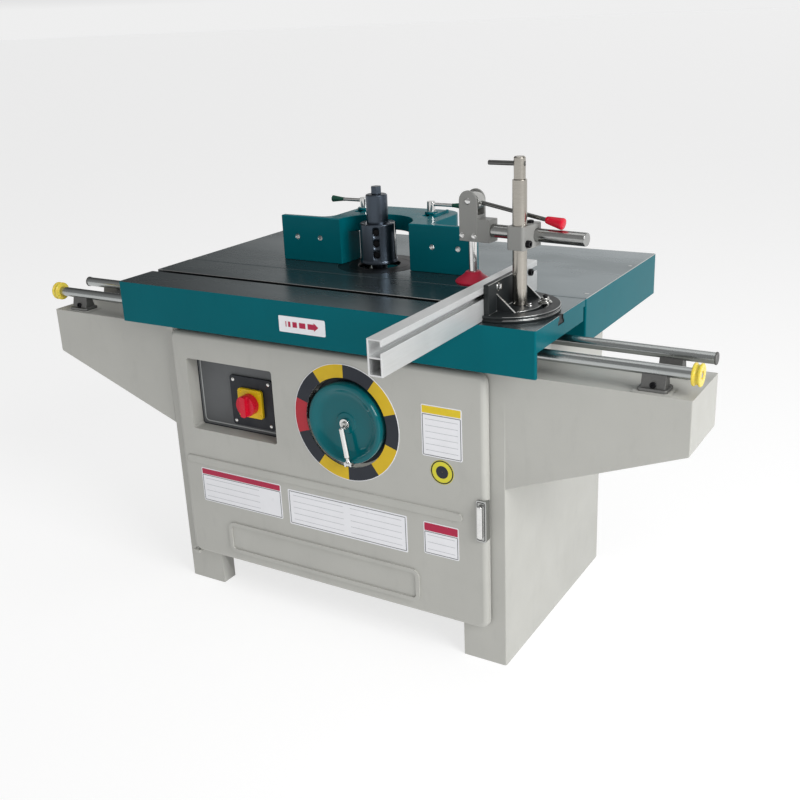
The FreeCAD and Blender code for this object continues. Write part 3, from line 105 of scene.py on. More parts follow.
def over(tree, under, upper, mask):
    mix = tree.nodes.new("ShaderNodeMix")
    mix.data_type = "RGBA"
    mix.inputs["B"].default_value = (*upper, 1)
    tree.links.new(mask, mix.inputs["Factor"])
    tree.links.new(under, mix.inputs["A"])
    return mix.outputs["Result"]


def relief(tree, shader, fac, strength, depth):
    bump = tree.nodes.new("ShaderNodeBump")
    bump.inputs["Strength"].default_value = strength
    bump.inputs["Distance"].default_value = depth
    tree.links.new(fac, bump.inputs["Height"])
    tree.links.new(bump.outputs["Normal"], shader.inputs["Normal"])


def shaded(colour, share):
    return tuple(part * share for part in colour)


def enamel(name, colour, gloss, peel, coat=0.0, shine=0.3):
    tree, shader = new_finish(name)
    body = tint(tree, speckle(tree, scale=6.0, detail=5.0), shaded(colour, 0.93), colour)
    streaks = speckle(tree, scale=38.0, detail=7.0, stretch=(1, 1, 0.35))
    grime = spread(tree, streaks, low=0.0, high=0.16, start=0.56, end=0.74)
    tree.links.new(over(tree, body, shaded(colour, 0.72), grime), shader.inputs["Base Color"])
    patches = speckle(tree, scale=16.0, detail=6.0)
    rough = spread(tree, patches, low=gloss * 0.85, high=gloss * 1.2)
    tree.links.new(rough, shader.inputs["Roughness"])
    shader.inputs["Specular IOR Level"].default_value = shine
    shader.inputs["Coat Weight"].default_value = coat
    shader.inputs["Coat Roughness"].default_value = 0.1
    relief(tree, shader, speckle(tree, scale=330.0, detail=2.0), strength=peel, depth=0.0003)


def metal(name, colour, gloss, stretch, scale, scratch=0.05, dull=0.35, share=1.0):
    tree, shader = new_finish(name)
    lines = speckle(tree, scale, detail=5.0, stretch=stretch, rough=0.65)
    cloud = speckle(tree, scale=9.0, detail=5.0)
    body = tint(tree, lines, shaded(colour, 0.86), colour, start=0.25, end=0.65)
    haze = spread(tree, cloud, low=0.0, high=dull, start=0.5, end=0.75)
    tree.links.new(over(tree, body, shaded(colour, 0.74), haze), shader.inputs["Base Color"])
    shader.inputs["Metallic"].default_value = share
    rough = spread(tree, cloud, low=gloss * 0.85, high=gloss * 1.25)
    tree.links.new(rough, shader.inputs["Roughness"])
    relief(tree, shader, lines, strength=scratch, depth=0.0002)


def ground_top(name, colour):
    tree, shader = new_finish(name)
    strokes = speckle(tree, scale=60.0, detail=6.0, stretch=(0.22, 9.0, 1.0), rough=0.7)
    stains = speckle(tree, scale=4.0, detail=7.0, stretch=(0.7, 1.6, 1.0))
    scratches = speckle(tree, scale=26.0, detail=3.0, stretch=(0.35, 14.0, 1.0), rough=0.8)
    stained = spread(tree, stains, low=0.0, high=0.6, start=0.48, end=0.74)
    scratched = spread(tree, scratches, low=0.0, high=0.5, start=0.71, end=0.78)
    body = tint(tree, strokes, shaded(colour, 0.84), shaded(colour, 1.1))
    body = over(tree, body, shaded(colour, 0.66), stained)
    body = over(tree, body, shaded(colour, 2.1), scratched)
    tree.links.new(body, shader.inputs["Base Color"])
    shader.inputs["Metallic"].default_value = 0.9
    tree.links.new(spread(tree, stains, low=0.2, high=0.32), shader.inputs["Roughness"])
    relief(tree, shader, strokes, strength=0.05, depth=0.0002)


def moulded(name, colour, gloss, grain=0.1, soft=0.0, vary=0.9):
    tree, shader = new_finish(name)
    tone = tint(tree, speckle(tree, scale=30.0, detail=4.0), shaded(colour, vary), colour)
    tree.links.new(tone, shader.inputs["Base Color"])
    patches = speckle(tree, scale=55.0, detail=5.0)
    rough = spread(tree, patches, low=gloss * 0.8, high=gloss * 1.3)
    tree.links.new(rough, shader.inputs["Roughness"])
    shader.inputs["Specular IOR Level"].default_value = 0.32
    shader.inputs["Subsurface Weight"].default_value = soft
    shader.inputs["Subsurface Radius"].default_value = (0.01, 0.006, 0.003)
    relief(tree, shader, speckle(tree, scale=700.0, detail=2.0), strength=grain, depth=0.0002)


enamel("teal_enamel", (0.0004, 0.122, 0.150), gloss=0.22, peel=0.07, shine=0.055)
enamel("wheel_teal", (0.0006, 0.120, 0.140), gloss=0.13, peel=0.03, coat=0.15, shine=0.2)
enamel("cream_enamel", (0.485, 0.484, 0.452), gloss=0.45, peel=0.22, shine=0.35)
enamel("grey_enamel", (0.275, 0.277, 0.265), gloss=0.36, peel=0.10, shine=0.45)
enamel("black_casting", (0.016, 0.019, 0.020), gloss=0.42, peel=0.4)
enamel("window_grey", (0.130, 0.137, 0.143), gloss=0.5, peel=0.1)
ground_top("ground_iron", (0.140, 0.182, 0.196))
# Light bare metal: real wear on the table's rims and screw heads, and painted highlight in the hood's holes
# and on the gauge's slopes
metal("bare_metal_and_highlight", (0.56, 0.57, 0.56), gloss=0.3, stretch=(1.0, 1.0, 1.0), scale=120.0, scratch=0.1)
# Very dark iron: painted shade for the table's slot and drum opening, the parts in them and the parts under
# the table
metal("painted_shade_iron", (0.045, 0.05, 0.053), gloss=0.4, stretch=(0.3, 8.0, 8.0), scale=60.0, scratch=0.2)
metal("polished_bar", (0.46, 0.48, 0.475), gloss=0.24, stretch=(0.3, 30.0, 30.0), scale=40.0, scratch=0.04)
metal("clamp_steel", (0.46, 0.465, 0.455), gloss=0.22, stretch=(0.4, 6.0, 6.0), scale=60.0, scratch=0.03)
metal("turned_mast", (0.46, 0.435, 0.39), gloss=0.24, stretch=(1.0, 1.0, 14.0), scale=60.0)
metal("chrome_plate", (0.76, 0.76, 0.75), gloss=0.12, stretch=(1.0, 1.0, 1.0), scale=90.0, dull=0.15)
metal("blackened_steel", (0.085, 0.104, 0.130), gloss=0.30, stretch=(1.0, 1.0, 12.0),
      scale=70.0, scratch=0.06)
metal("burnished_rod", (0.15, 0.15, 0.145), gloss=0.26, stretch=(4.0, 4.0, 4.0), scale=70.0)
metal("raw_casting", (0.20, 0.20, 0.195), gloss=0.5, stretch=(1.0, 1.0, 1.0), scale=160.0, scratch=0.35)
metal("zinc_bolt", (0.58, 0.58, 0.56), gloss=0.22, stretch=(1.0, 1.0, 1.0), scale=120.0, scratch=0.04)
metal("bronze_nut", (0.50, 0.33, 0.13), gloss=0.3, stretch=(1.0, 1.0, 6.0), scale=80.0)
metal("black_screw", (0.022, 0.022, 0.024), gloss=0.4, stretch=(1.0, 1.0, 1.0), scale=120.0, scratch=0.15)
metal("anodised_white", (0.74, 0.75, 0.75), gloss=0.36, stretch=(24.0, 0.3, 24.0),
      scale=60.0, scratch=0.1, dull=0.12, share=0.55)
moulded("red_grip", (0.66, 0.006, 0.030), gloss=0.24)
moulded("red_foot", (0.50, 0.012, 0.045), gloss=0.4, grain=0.3, soft=0.12)
moulded("black_moulding", (0.014, 0.017, 0.024), gloss=0.42, grain=0.3)
moulded("yellow_moulding", (0.80, 0.54, 0.006), gloss=0.36)
moulded("bumper_yellow", (0.80, 0.64, 0.09), gloss=0.22, grain=0.08, soft=0.3)
moulded("belt_rubber", (0.015, 0.015, 0.015), gloss=0.7, grain=0.5)
moulded("dial_black", (0.016, 0.020, 0.030), gloss=0.4)
moulded("dial_yellow", (0.70, 0.47, 0.010), gloss=0.4)
moulded("dial_red", (0.46, 0.020, 0.035), gloss=0.4)
moulded("plate_white", (0.85, 0.855, 0.885), gloss=0.34, grain=0.04, vary=0.97)
moulded("plate_red", (0.45, 0.012, 0.060), gloss=0.36, grain=0.04)
moulded("plate_yellow", (0.78, 0.58, 0.02), gloss=0.36, grain=0.04)
moulded("disc_yellow", (0.72, 0.66, 0.04), gloss=0.36, grain=0.04)
moulded("plate_line", (0.13, 0.14, 0.15), gloss=0.45, grain=0.04)
moulded("plate_row", (0.50, 0.51, 0.54), gloss=0.45, grain=0.04)
moulded("window_line", (0.50, 0.52, 0.52), gloss=0.45, grain=0.04)
moulded("dark_green_knob", (0.010, 0.075, 0.050), gloss=0.3)


# Shaping helpers

# Above the first angle, in degrees, an edge is shaded sharp, and above the second it is eased
SHARP_ANGLE = 34
EASED_ANGLE = 38
# Shortest edge that is eased, as a share of the easing's width
ANY_EDGE = 0.2
LONG_EDGE = 1.2
# Distance below which two corners are one, in metres
SAME_POINT = 0.00001
# Pull of the large faces on the shading of the edges beside them
FLAT_WEIGHT = 90
# Least share of its normal along an axis for a face to count as facing that way
FACING = 0.9
LEVEL = 0.95


def keep(name, shell, body, *finishes):
    bmesh.ops.dissolve_degenerate(shell, dist=SAME_POINT, edges=shell.edges)
    mesh = bpy.data.meshes.new(name)
    shell.to_mesh(mesh)
    shell.free()
    for finish in finishes:
        mesh.materials.append(FINISH[finish])
    mesh.shade_smooth()
    mesh.set_sharp_from_angle(angle=math.radians(SHARP_ANGLE))
    piece = bpy.data.objects.new(name, mesh)
    bpy.context.scene.collection.objects.link(piece)
    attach(piece, body)
    return piece


def stand_for(node, shell, *finishes):
    piece = keep(node + "_finished", shell, HOME[node], *finishes)
    smooth = piece.modifiers.new("even_normals", "WEIGHTED_NORMAL")
    smooth.keep_sharp = True
    smooth.weight = FLAT_WEIGHT
    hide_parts(node)


# Shade pressed sheet: flats stay flat, and the bends between them run smooth
def press_normals(piece):
    level_least = 0.99995
    bend_least = 0.85
    mesh = piece.data
    mesh.set_sharp_from_angle(angle=math.pi)
    flats = {face.index for face in mesh.polygons if max(abs(part) for part in face.normal) > level_least}
    around = [[] for vert in mesh.vertices]
    for face in mesh.polygons:
        for vert in face.vertices:
            around[vert].append(face.index)
    normals = [None] * len(mesh.loops)
    for face in mesh.polygons:
        for loop in face.loop_indices:
            near = [other for other in around[mesh.loops[loop].vertex_index]
                    if mesh.polygons[other].normal.dot(face.normal) > bend_least]
            level = [other for other in near if other in flats]
            chosen = [face.index] if face.index in flats else level or near
            total = sum((mesh.polygons[other].normal for other in chosen), Vector())
            normals[loop] = total.normalized()
    mesh.normals_split_custom_set(normals)


# Make one face of each flat group of triangles that has a single rim
def merge_flats(shell):
    same_plane = 0.99999
    seen = set()
    for start in shell.faces[:]:
        if start in seen:
            continue
        seen.add(start)
        region = [start]
        waiting = [start]
        while waiting:
            for edge in waiting.pop().edges:
                for near in edge.link_faces:
                    if near not in seen and near.normal.dot(start.normal) > same_plane:
                        seen.add(near)
                        region.append(near)
                        waiting.append(near)
        inside = set(region)
        rim = [edge for face in region for edge in face.edges
               if sum(near in inside for near in edge.link_faces) == 1]
        if len(region) > 1 and one_loop(rim):
            bmesh.ops.dissolve_faces(shell, faces=region)


def one_loop(rim):
    links = {}
    for edge in rim:
        for vert in edge.verts:
            links.setdefault(vert, []).append(edge)
    if any(len(edges) != 2 for edges in links.values()):
        return False
    edge = rim[0]
    vert = edge.verts[0]
    count = 0
    while True:
        vert = edge.other_vert(vert)
        edge = links[vert][0] if links[vert][1] is edge else links[vert][1]
        count += 1
        if edge is rim[0]:
            return count == len(rim)


def cad_copy(node, flat=True):
    shell = bmesh.new()
    shell.from_mesh(frame["nodes"][node].data)
    bmesh.ops.remove_doubles(shell, verts=shell.verts, dist=SAME_POINT)
    if flat:
        merge_flats(shell)
    return shell


def hard_edges(shell, width, least):
    return [edge for edge in shell.edges
            if len(edge.link_faces) == 2 and edge.calc_face_angle(0) > math.radians(EASED_ANGLE)
            and edge.calc_length() > width * least]


def ease_chosen(shell, width, edges, segments):
    made = bmesh.ops.bevel(shell, geom=edges, offset=width, offset_type="OFFSET", segments=segments,
                           profile=0.5, affect="EDGES", clamp_overlap=False, material=-1)
    return made["faces"]


def ease_edges(shell, width, least=ANY_EDGE):
    return ease_chosen(shell, width, hard_edges(shell, width, least), segments=2)


def dress(node, finish, width, least):
    shell = cad_copy(node, width > 0)
    if width:
        ease_edges(shell, width, least)
    stand_for(node, shell, finish)


def turned(profile, foot, axis, steps=64):
    shell = bmesh.new()
    last = None
    for radius, height in profile:
        dot = shell.verts.new((radius, 0, height))
        if last:
            shell.edges.new((last, dot))
        last = dot
    bmesh.ops.spin(shell, geom=shell.verts[:] + shell.edges[:], cent=ORIGIN, axis=UP, dvec=ORIGIN,
                   angle=math.tau, steps=steps, use_merge=True)
    bmesh.ops.remove_doubles(shell, verts=shell.verts, dist=SAME_POINT / 2)
    bmesh.ops.recalc_face_normals(shell, faces=shell.faces)
    lay(shell, foot, axis)
    return shell


def lay(shell, foot, axis):
    turn = Vector(UP).rotation_difference(Vector(axis)).to_matrix().to_4x4()
    bmesh.ops.transform(shell, matrix=Matrix.Translation(Vector(foot)) @ turn, verts=shell.verts)


def slab(low, high, round_off):
    shell = bmesh.new()
    bmesh.ops.create_cube(shell, size=1.0)
    low = Vector(low)
    high = Vector(high)
    bmesh.ops.scale(shell, vec=high - low, verts=shell.verts)
    bmesh.ops.translate(shell, vec=(low + high) / 2, verts=shell.verts)
    bmesh.ops.bevel(shell, geom=shell.edges[:], offset=round_off, offset_type="OFFSET", segments=2,
                    profile=0.5, affect="EDGES", material=-1)
    return shell


def join(first, second):
    mesh = bpy.data.meshes.new("joined")
    second.to_mesh(mesh)
    second.free()
    first.from_mesh(mesh)
    bpy.data.meshes.remove(mesh)


def gather(shells):
    first = shells[0]
    for shell in shells[1:]:
        join(first, shell)
    return first


def moved_verts(made):
    return [part for part in made["geom"] if isinstance(part, bmesh.types.BMVert)]


def hex_head(flats, height, foot, axis, turn, washer=0.0, thick=0.0):
    shell = bmesh.new()
    if washer:
        ring = [(0, 0), (washer, 0), (washer, thick * 0.8), (washer - thick * 0.2, thick), (0, thick)]
        join(shell, turned(ring, ORIGIN, UP, steps=40))
    head = bmesh.new()
    corner = flats / math.sqrt(3)
    bmesh.ops.create_cone(head, cap_ends=True, segments=6, radius1=corner, radius2=corner, depth=height,
                          matrix=Matrix.Translation((0, 0, thick + height / 2)))
    bmesh.ops.rotate(head, cent=ORIGIN, matrix=Matrix.Rotation(turn, 3, "Z"), verts=head.verts)
    bmesh.ops.bevel(head, geom=head.edges[:], offset=flats * 0.05, offset_type="OFFSET", segments=2,
                    profile=0.5, affect="EDGES", material=-1)
    join(shell, head)
    lay(shell, foot, axis)
    return shell


def socket_head(radius, height, foot, axis, socket=0.5):
    well_floor = height * 0.45
    well_depth = height * 0.55
    rim = [(0, 0), (radius, 0), (radius, height * 0.88), (radius * 0.92, height), (radius * socket, height)]
    shell = turned(rim, ORIGIN, UP, steps=32)
    well = bmesh.new()
    bmesh.ops.create_circle(well, cap_ends=True, segments=6, radius=radius * socket * 0.98,
                            matrix=Matrix.Translation((0, 0, well_floor)))
    raised = bmesh.ops.extrude_edge_only(well, edges=well.edges)
    bmesh.ops.translate(well, vec=(0, 0, well_depth), verts=moved_verts(raised))
    join(shell, well)
    bmesh.ops.bridge_loops(shell, edges=[edge for edge in shell.edges if edge.is_boundary])
    bmesh.ops.recalc_face_normals(shell, faces=shell.faces)
    lay(shell, foot, axis)
    return shell


def dome_head(radius, height, foot, axis):
    dome = [(0, 0), (radius, 0), (radius, height * 0.25), (radius * 0.86, height * 0.62),
            (radius * 0.55, height * 0.9), (0, height)]
    return turned(dome, foot, axis, steps=28)


def corner_places(low, high, inset):
    return [(x, z) for x in (low.x + inset, high.x - inset) for z in (low.z + inset, high.z - inset)]


def flat_ring(inner, outer, thick):
    return [(inner, 0), (outer, 0), (outer, thick), (inner, thick), (inner, 0)]


def middle_of(node):
    low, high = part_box(node)
    return (low + high) / 2


# Flat pieces on a front: an upright sheet, a plate of it and a ruled border of it
def front_sheet(left, right, low, high, corner, y):
    shell = bmesh.new()
    bmesh.ops.create_grid(shell, x_segments=1, y_segments=1, size=0.5)
    bmesh.ops.scale(shell, vec=(right - left, high - low, 1), verts=shell.verts)
    bmesh.ops.rotate(shell, cent=ORIGIN, matrix=Matrix.Rotation(math.pi / 2, 3, "X"), verts=shell.verts)
    bmesh.ops.translate(shell, vec=((left + right) / 2, y, (low + high) / 2), verts=shell.verts)
    if corner:
        bmesh.ops.bevel(shell, geom=shell.verts[:], offset=corner, offset_type="OFFSET", segments=6,
                        profile=0.5, affect="VERTICES", material=-1)
    return shell


def thicken(shell, thick):
    grown = bmesh.ops.extrude_face_region(shell, geom=shell.faces[:], use_keep_orig=True)
    bmesh.ops.translate(shell, vec=Vector(FRONT) * thick, verts=moved_verts(grown))
    bmesh.ops.recalc_face_normals(shell, faces=shell.faces)
    return shell


def front_plate(left, right, low, high, corner, y, thick):
    return thicken(front_sheet(left, right, low, high, corner, y + TOUCH), thick + TOUCH)


def front_line(left, right, low, high, corner, y, width, thick):
    shell = front_sheet(left, right, low, high, corner, y + TOUCH)
    inset = bmesh.ops.inset_region(shell, faces=shell.faces[:], thickness=width, depth=0, use_boundary=True)
    ring = set(inset["faces"])
    bmesh.ops.delete(shell, geom=[face for face in shell.faces if face not in ring], context="FACES")
    return thicken(shell, thick + TOUCH)


# Plain pieces: finish and width of the eased edges, in metres

EASED = {
    "door_pivots": ("cream_enamel", 0.001), "door_latch_plate": ("clamp_steel", 0.0008),
    "switch_plate": ("black_moulding", 0.0008), "switch_base": ("yellow_moulding", 0.0015),
    "switch_knob": ("red_grip", 0.0012),
    "handwheel_shaft": ("polished_bar", 0.001), "handwheel_handle": ("chrome_plate", 0.0006),
    "wheel_fittings": ("chrome_plate", 0.0008),
    "lift_gearbox": ("grey_enamel", 0.002), "gearbox_hanger": ("grey_enamel", 0.002),
    "lead_screw": ("polished_bar", 0.001), "lead_nut": ("bronze_nut", 0.001),
    "guide_posts": ("polished_bar", 0.001), "guide_foot_plate": ("raw_casting", 0.002),
    # The spindle's carriage, bearings and shaft are painted dark as shade under the table
    "spindle_carriage": ("black_casting", 0.0), "spindle_bearings": ("painted_shade_iron", 0.0008),
    "spindle_shaft": ("blackened_steel", 0.001), "spindle_pulley": ("raw_casting", 0.0),
    "drive_belt": ("belt_rubber", 0.0015), "motor": ("grey_enamel", 0.0),
    "motor_plate": ("raw_casting", 0.002),
    "motor_shaft": ("polished_bar", 0.001), "motor_pulley": ("raw_casting", 0.0),
    "cutter_drum": ("blackened_steel", 0.0), "spacer_sleeve": ("blackened_steel", 0.0),
    # The outer insert ring's dark iron is painted shade in the drum's opening
    "arbor_nut": ("blackened_steel", 0.0012), "outer_insert_ring": ("painted_shade_iron", 0.0006),
    "inner_insert_ring": ("black_screw", 0.0006),
    "hood_studs": ("zinc_bolt", 0.001), "bearing_blocks": ("raw_casting", 0.0015),
    "front_rail": ("polished_bar", 0.001), "rear_rail": ("polished_bar", 0.001),
    "rail_supports": ("raw_casting", 0.0012),
    "gauge_fence": ("anodised_white", 0.0006), "mast": ("turned_mast", 0.001),
    "mast_head": ("turned_mast", 0.0008),
    "tommy_bar": ("burnished_rod", 0.001), "cross_clamp": ("grey_enamel", 0.0012),
    "clamp_bar": ("clamp_steel", 0.0015), "clamp_head": ("grey_enamel", 0.001),
    "press_rod": ("chrome_plate", 0.001),
}
FINE_DETAIL = ("switch_knob", "wheel_fittings")
for node, (finish, width) in EASED.items():
    dress(node, finish, width, LONG_EDGE if node in FINE_DETAIL else ANY_EDGE)


# Cabinet, outriggers and door

NEAR = 0.0001
DOOR_FRONT = JOINT["switch_turn"]["pos_m"][1]


def cabinet_shell():
    shell = cad_copy("cabinet")
    low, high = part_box("cabinet")
    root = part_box("right_outrigger")[0].z
    whole = shell.verts[:] + shell.edges[:] + shell.faces[:]
    bmesh.ops.bisect_plane(shell, geom=whole, plane_co=(0, 0, root), plane_no=UP)
    corners = []
    for edge in shell.edges:
        first, second = (vert.co for vert in edge.verts)
        upright = (first - second).xy.length < NEAR
        outer = high.x - abs(first.x) < NEAR and min(first.y - low.y, high.y - first.y) < NEAR
        if upright and outer and (first.y > 0 or max(first.z, second.z) < root + NEAR):
            corners.append(edge)
    ease_chosen(shell, width=0.003, edges=corners, segments=3)
    stand_for("cabinet", shell, "cream_enamel")


def outrigger_box(node):
    fold = 0.0025
    rail_seat = 0.7315
    shell = cad_copy(node)
    past_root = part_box("cabinet")[1].x + 0.001
    free = [edge for edge in hard_edges(shell, fold, LONG_EDGE)
            if max(abs(vert.co.x) for vert in edge.verts) > past_root
            and min(vert.co.z for vert in edge.verts) < rail_seat]
    ease_chosen(shell, width=fold, edges=free, segments=3)
    stand_for(node, shell, "cream_enamel")


def door_skin():
    wheel_hole = 0.118
    window_near = 0.002
    behind = DOOR_FRONT + 0.001
    finishes = ("cream_enamel", "window_grey", "dial_black")
    shell = cad_copy("front_door", False)
    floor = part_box("switch_plate")[1].y
    hub = middle_of("handwheel")
    for face in shell.faces:
        middle = face.calc_center_median()
        if face.normal.y < -FACING and abs(middle.y - floor) < window_near:
            face.material_index = finishes.index("window_grey")
        # Faces inside the wheel's hole, behind the front, take the dial's black as painted shade
        elif middle.y > behind and math.hypot(middle.x - hub.x, middle.z - hub.z) < wheel_hole:
            face.material_index = finishes.index("dial_black")
    piece = keep("front_door_finished", shell, HOME["front_door"], *finishes)
    press_normals(piece)
    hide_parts("front_door")


# Window lines: left, right, low and high edge, then the corner's radius
WINDOW_BORDER = (-0.391, -0.137, 0.477, 0.651, 0.012)
WINDOW_SEAL = (-0.3995, -0.1285, 0.4685, 0.6595, 0.0068)


def window_border():
    plate_low, plate_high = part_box("switch_plate")
    floor = plate_high.y
    border = front_line(*WINDOW_BORDER, floor, width=0.0028, thick=0.0004)
    keep("window_border", border, "door", "window_line")
    seal = front_line(*WINDOW_SEAL, floor, width=0.0022, thick=0.0008)
    keep("window_seal", seal, "door", "black_moulding")
    screws = [dome_head(radius=0.0052, height=0.003, foot=(x, plate_low.y + TOUCH, z), axis=FRONT)
              for x, z in corner_places(plate_low, plate_high, inset=0.011)]
    keep("switch_plate_screws", gather(screws), "door", "chrome_plate")
    base_low, base_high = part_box("switch_base")
    bosses = [socket_head(radius=0.0045, height=0.0016, foot=(x, base_low.y + TOUCH, z), axis=FRONT)
              for x, z in corner_places(base_low, base_high, inset=0.0085)]
    keep("switch_base_screws", gather(bosses), "door", "yellow_moulding")


# Door plates: left, right, low and high edge, then the corner's radius or the number of rows
WHITE_PLATES = [(-0.390, -0.129, 0.262, 0.358, 0.004), (-0.107, 0.241, 0.255, 0.352, 0.003),
                (0.290, 0.393, 0.518, 0.643, 0.004), (0.286, 0.379, 0.266, 0.350, 0.004)]
RED_BANDS = [(-0.3875, -0.1315, 0.3405, 0.3555, 0.002), (0.2885, 0.3765, 0.3275, 0.3475, 0.002)]
YELLOW_BAND = (0.2925, 0.3905, 0.623, 0.6405, 0.002)
PLATE_BORDERS = [(-0.3875, -0.1315, 0.2645, 0.3385, 0.002), (-0.1035, 0.2375, 0.2585, 0.3485, 0.002),
                 (0.2925, 0.3905, 0.5205, 0.6205, 0.002), (0.2885, 0.3765, 0.2685, 0.3255, 0.002)]
PLATE_ROWS = [(-0.378, -0.200, 0.2765, 0.3275, 4), (-0.092, 0.060, 0.2705, 0.3370, 5),
              (0.080, 0.226, 0.2705, 0.3370, 5), (0.300, 0.383, 0.5330, 0.6080, 6),
              (0.296, 0.369, 0.2790, 0.3160, 3)]
PLATE_THICK = 0.0006
LINE_THICK = 0.0008
BAND_THICK = 0.0009
BORDER_WIDTH = 0.0017
ROW_WIDTH = 0.0011


def door_plates():
    white = [front_plate(*edges, DOOR_FRONT, PLATE_THICK) for edges in WHITE_PLATES]
    keep("door_plates", gather(white), "door", "plate_white")
    bands = [front_plate(*edges, DOOR_FRONT, BAND_THICK) for edges in RED_BANDS]
    keep("door_plate_bands", gather(bands), "door", "plate_red")
    keep("top_plate_band", front_plate(*YELLOW_BAND, DOOR_FRONT, BAND_THICK), "door", "plate_yellow")
    lines = [front_line(*edges, DOOR_FRONT, BORDER_WIDTH, LINE_THICK) for edges in PLATE_BORDERS]
    keep("door_plate_lines", gather(lines), "door", "plate_line")
    rows = []
    for left, right, low, high, count in PLATE_ROWS:
        for step in range(count):
            z = low + (high - low) * step / (count - 1)
            rows.append(front_plate(left, right, z, z + ROW_WIDTH, corner=0, y=DOOR_FRONT, thick=LINE_THICK))
    keep("door_plate_rows", gather(rows), "door", "plate_row")


def round_door_plate():
    place = (0.340, DOOR_FRONT + TOUCH, 0.484)
    radius = 0.030
    disc = [(0, 0), (radius, 0), (radius, PLATE_THICK), (0, PLATE_THICK)]
    keep("round_plate", turned(disc, place, FRONT), "door", "disc_yellow")
    rings = [turned(flat_ring(inner, outer, BAND_THICK), place, FRONT)
             for inner, outer in ((0.026, 0.0288), (0.0005, 0.0155))]
    keep("round_plate_rings", gather(rings), "door", "dial_black")


def latch_lever():
    dress("door_latch_lever", "chrome_plate", width=0.0006, least=1.5)
    low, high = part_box("door_latch_plate")
    edges = (low.x + 0.0025, high.x - 0.003, low.z + 0.004, high.z - 0.004)
    # A thin black ring inset on the latch plate: painted shade of a recess round its panel
    shade_ring = front_line(*edges, corner=0.004, y=low.y, width=0.0018, thick=0.0001)
    keep("latch_shade_ring", shade_ring, "door", "black_screw")


cabinet_shell()
outrigger_box("left_outrigger")
outrigger_box("right_outrigger")
door_skin()
window_border()
door_plates()
round_door_plate()
latch_lever()


# Tables and rails

SLOT_LINE = JOINT["gauge_swivel"]["pos_m"][1]


def table_top(node, slot=None):
    upward = 0.35
    worn_depth = 0.002
    edge_width = 0.0012
    seam_width = 0.003
    slot_half = 0.0165
    slot_depth = 0.0205
    well_radius = 0.116
    finishes = ("teal_enamel", "ground_iron", "bare_metal_and_highlight", "painted_shade_iron")
    shell = cad_copy(node)
    low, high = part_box(node)
    well = middle_of("cutter_drum")
    ease_edges(shell, edge_width, LONG_EDGE if slot else ANY_EDGE)
    for face in shell.faces:
        middle = face.calc_center_median()
        if face.normal.z > upward and middle.z > high.z - worn_depth:
            seam = middle.y < low.y + seam_width if slot is None else middle.y > high.y - seam_width
            ground = face.normal.z > LEVEL or seam
            face.material_index = finishes.index("ground_iron" if ground else "bare_metal_and_highlight")
        sunk = middle.z < high.z - edge_width
        # Faces sunk in the drum's opening and in the mitre slot take the dark iron as painted shade
        if node == "fixed_table" and (middle - well).xy.length < well_radius and sunk:
            face.material_index = finishes.index("painted_shade_iron")
        if slot and abs(middle.y - slot) < slot_half and sunk and middle.z > high.z - slot_depth:
            face.material_index = finishes.index("painted_shade_iron")
    stand_for(node, shell, *finishes)


BUMPER_LENGTH = 0.018
BUMPER_BORE = 0.0126
# Profiles of the bumper and of the rear rail's plug: radius and distance from the inner end
BUMPER_RIBS = [(BUMPER_BORE, 0), (0.0222, 0), (0.0236, 0.0010), (0.0239, 0.0026), (0.0235, 0.0044),
               (0.0214, 0.0058), (0.0203, 0.0074), (0.0200, 0.009), (0.0203, 0.0106), (0.0214, 0.0122),
               (0.0235, 0.0136), (0.0239, 0.0154), (0.0236, 0.0170), (0.0222, 0.018), (0.0096, 0.018),
               (0.0088, 0.0172), (0.0086, 0.0146), (0, 0.0146)]
PLUG = [(0, -0.001), (0.0136, -0.001), (0.0138, 0.0016), (0.0128, 0.0026), (0, 0.0028)]


def rail_bumpers():
    low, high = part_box("rail_caps")
    mid = middle_of("rail_caps")
    rail_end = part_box("front_rail")[1].x - high.x + BUMPER_LENGTH
    profile = [(0, rail_end), (BUMPER_BORE, rail_end)] + BUMPER_RIBS
    bolt_depth = 0.0041
    caps = []
    bolts = []
    for side in (-1, 1):
        tip = high.x if side > 0 else low.x
        axis = (side, 0, 0)
        caps.append(turned(profile, (tip - side * BUMPER_LENGTH, mid.y, mid.z), axis))
        foot = (tip - side * bolt_depth, mid.y, mid.z)
        bolts.append(hex_head(flats=0.010, height=0.0034, foot=foot, axis=axis, turn=0.3))
    piece = keep("rail_caps_finished", gather(caps), "base", "bumper_yellow")
    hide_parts("rail_caps")
    keep("bumper_bolts", gather(bolts), "base", "zinc_bolt")


def rail_details():
    low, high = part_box("rear_rail")
    mid = middle_of("rear_rail")
    ends = []
    for side in (-1, 1):
        tip = high.x if side > 0 else low.x
        ends.append(turned(PLUG, (tip, mid.y, mid.z), (side, 0, 0), steps=40))
    keep("rear_rail_plugs", gather(ends), "base", "raw_casting")
    support_run = 0.009
    support_rise = 0.0345
    lean = math.atan2(support_run, support_rise)
    support_x = 0.804
    screw_out = 0.0146
    screw_z = 0.7487
    screws = []
    for rail in ("front_rail", "rear_rail"):
        y = middle_of(rail).y
        for x in (-support_x, support_x):
            for face in (-1, 1):
                foot = (x, y + face * screw_out, screw_z)
                axis = (0, face * math.cos(lean), math.sin(lean))
                screws.append(socket_head(radius=0.0065, height=0.004, foot=foot, axis=axis))
    keep("support_screws", gather(screws), "base", "black_screw")


def table_screws():
    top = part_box("fixed_table")[1].z
    screws = [dome_head(radius=0.0052, height=0.0008, foot=(x, y, top - TOUCH), axis=UP)
              for x in (-0.5628, 0.5628) for y in (0.1200, 0.4164)]
    keep("table_screws", gather(screws), "base", "bare_metal_and_highlight")


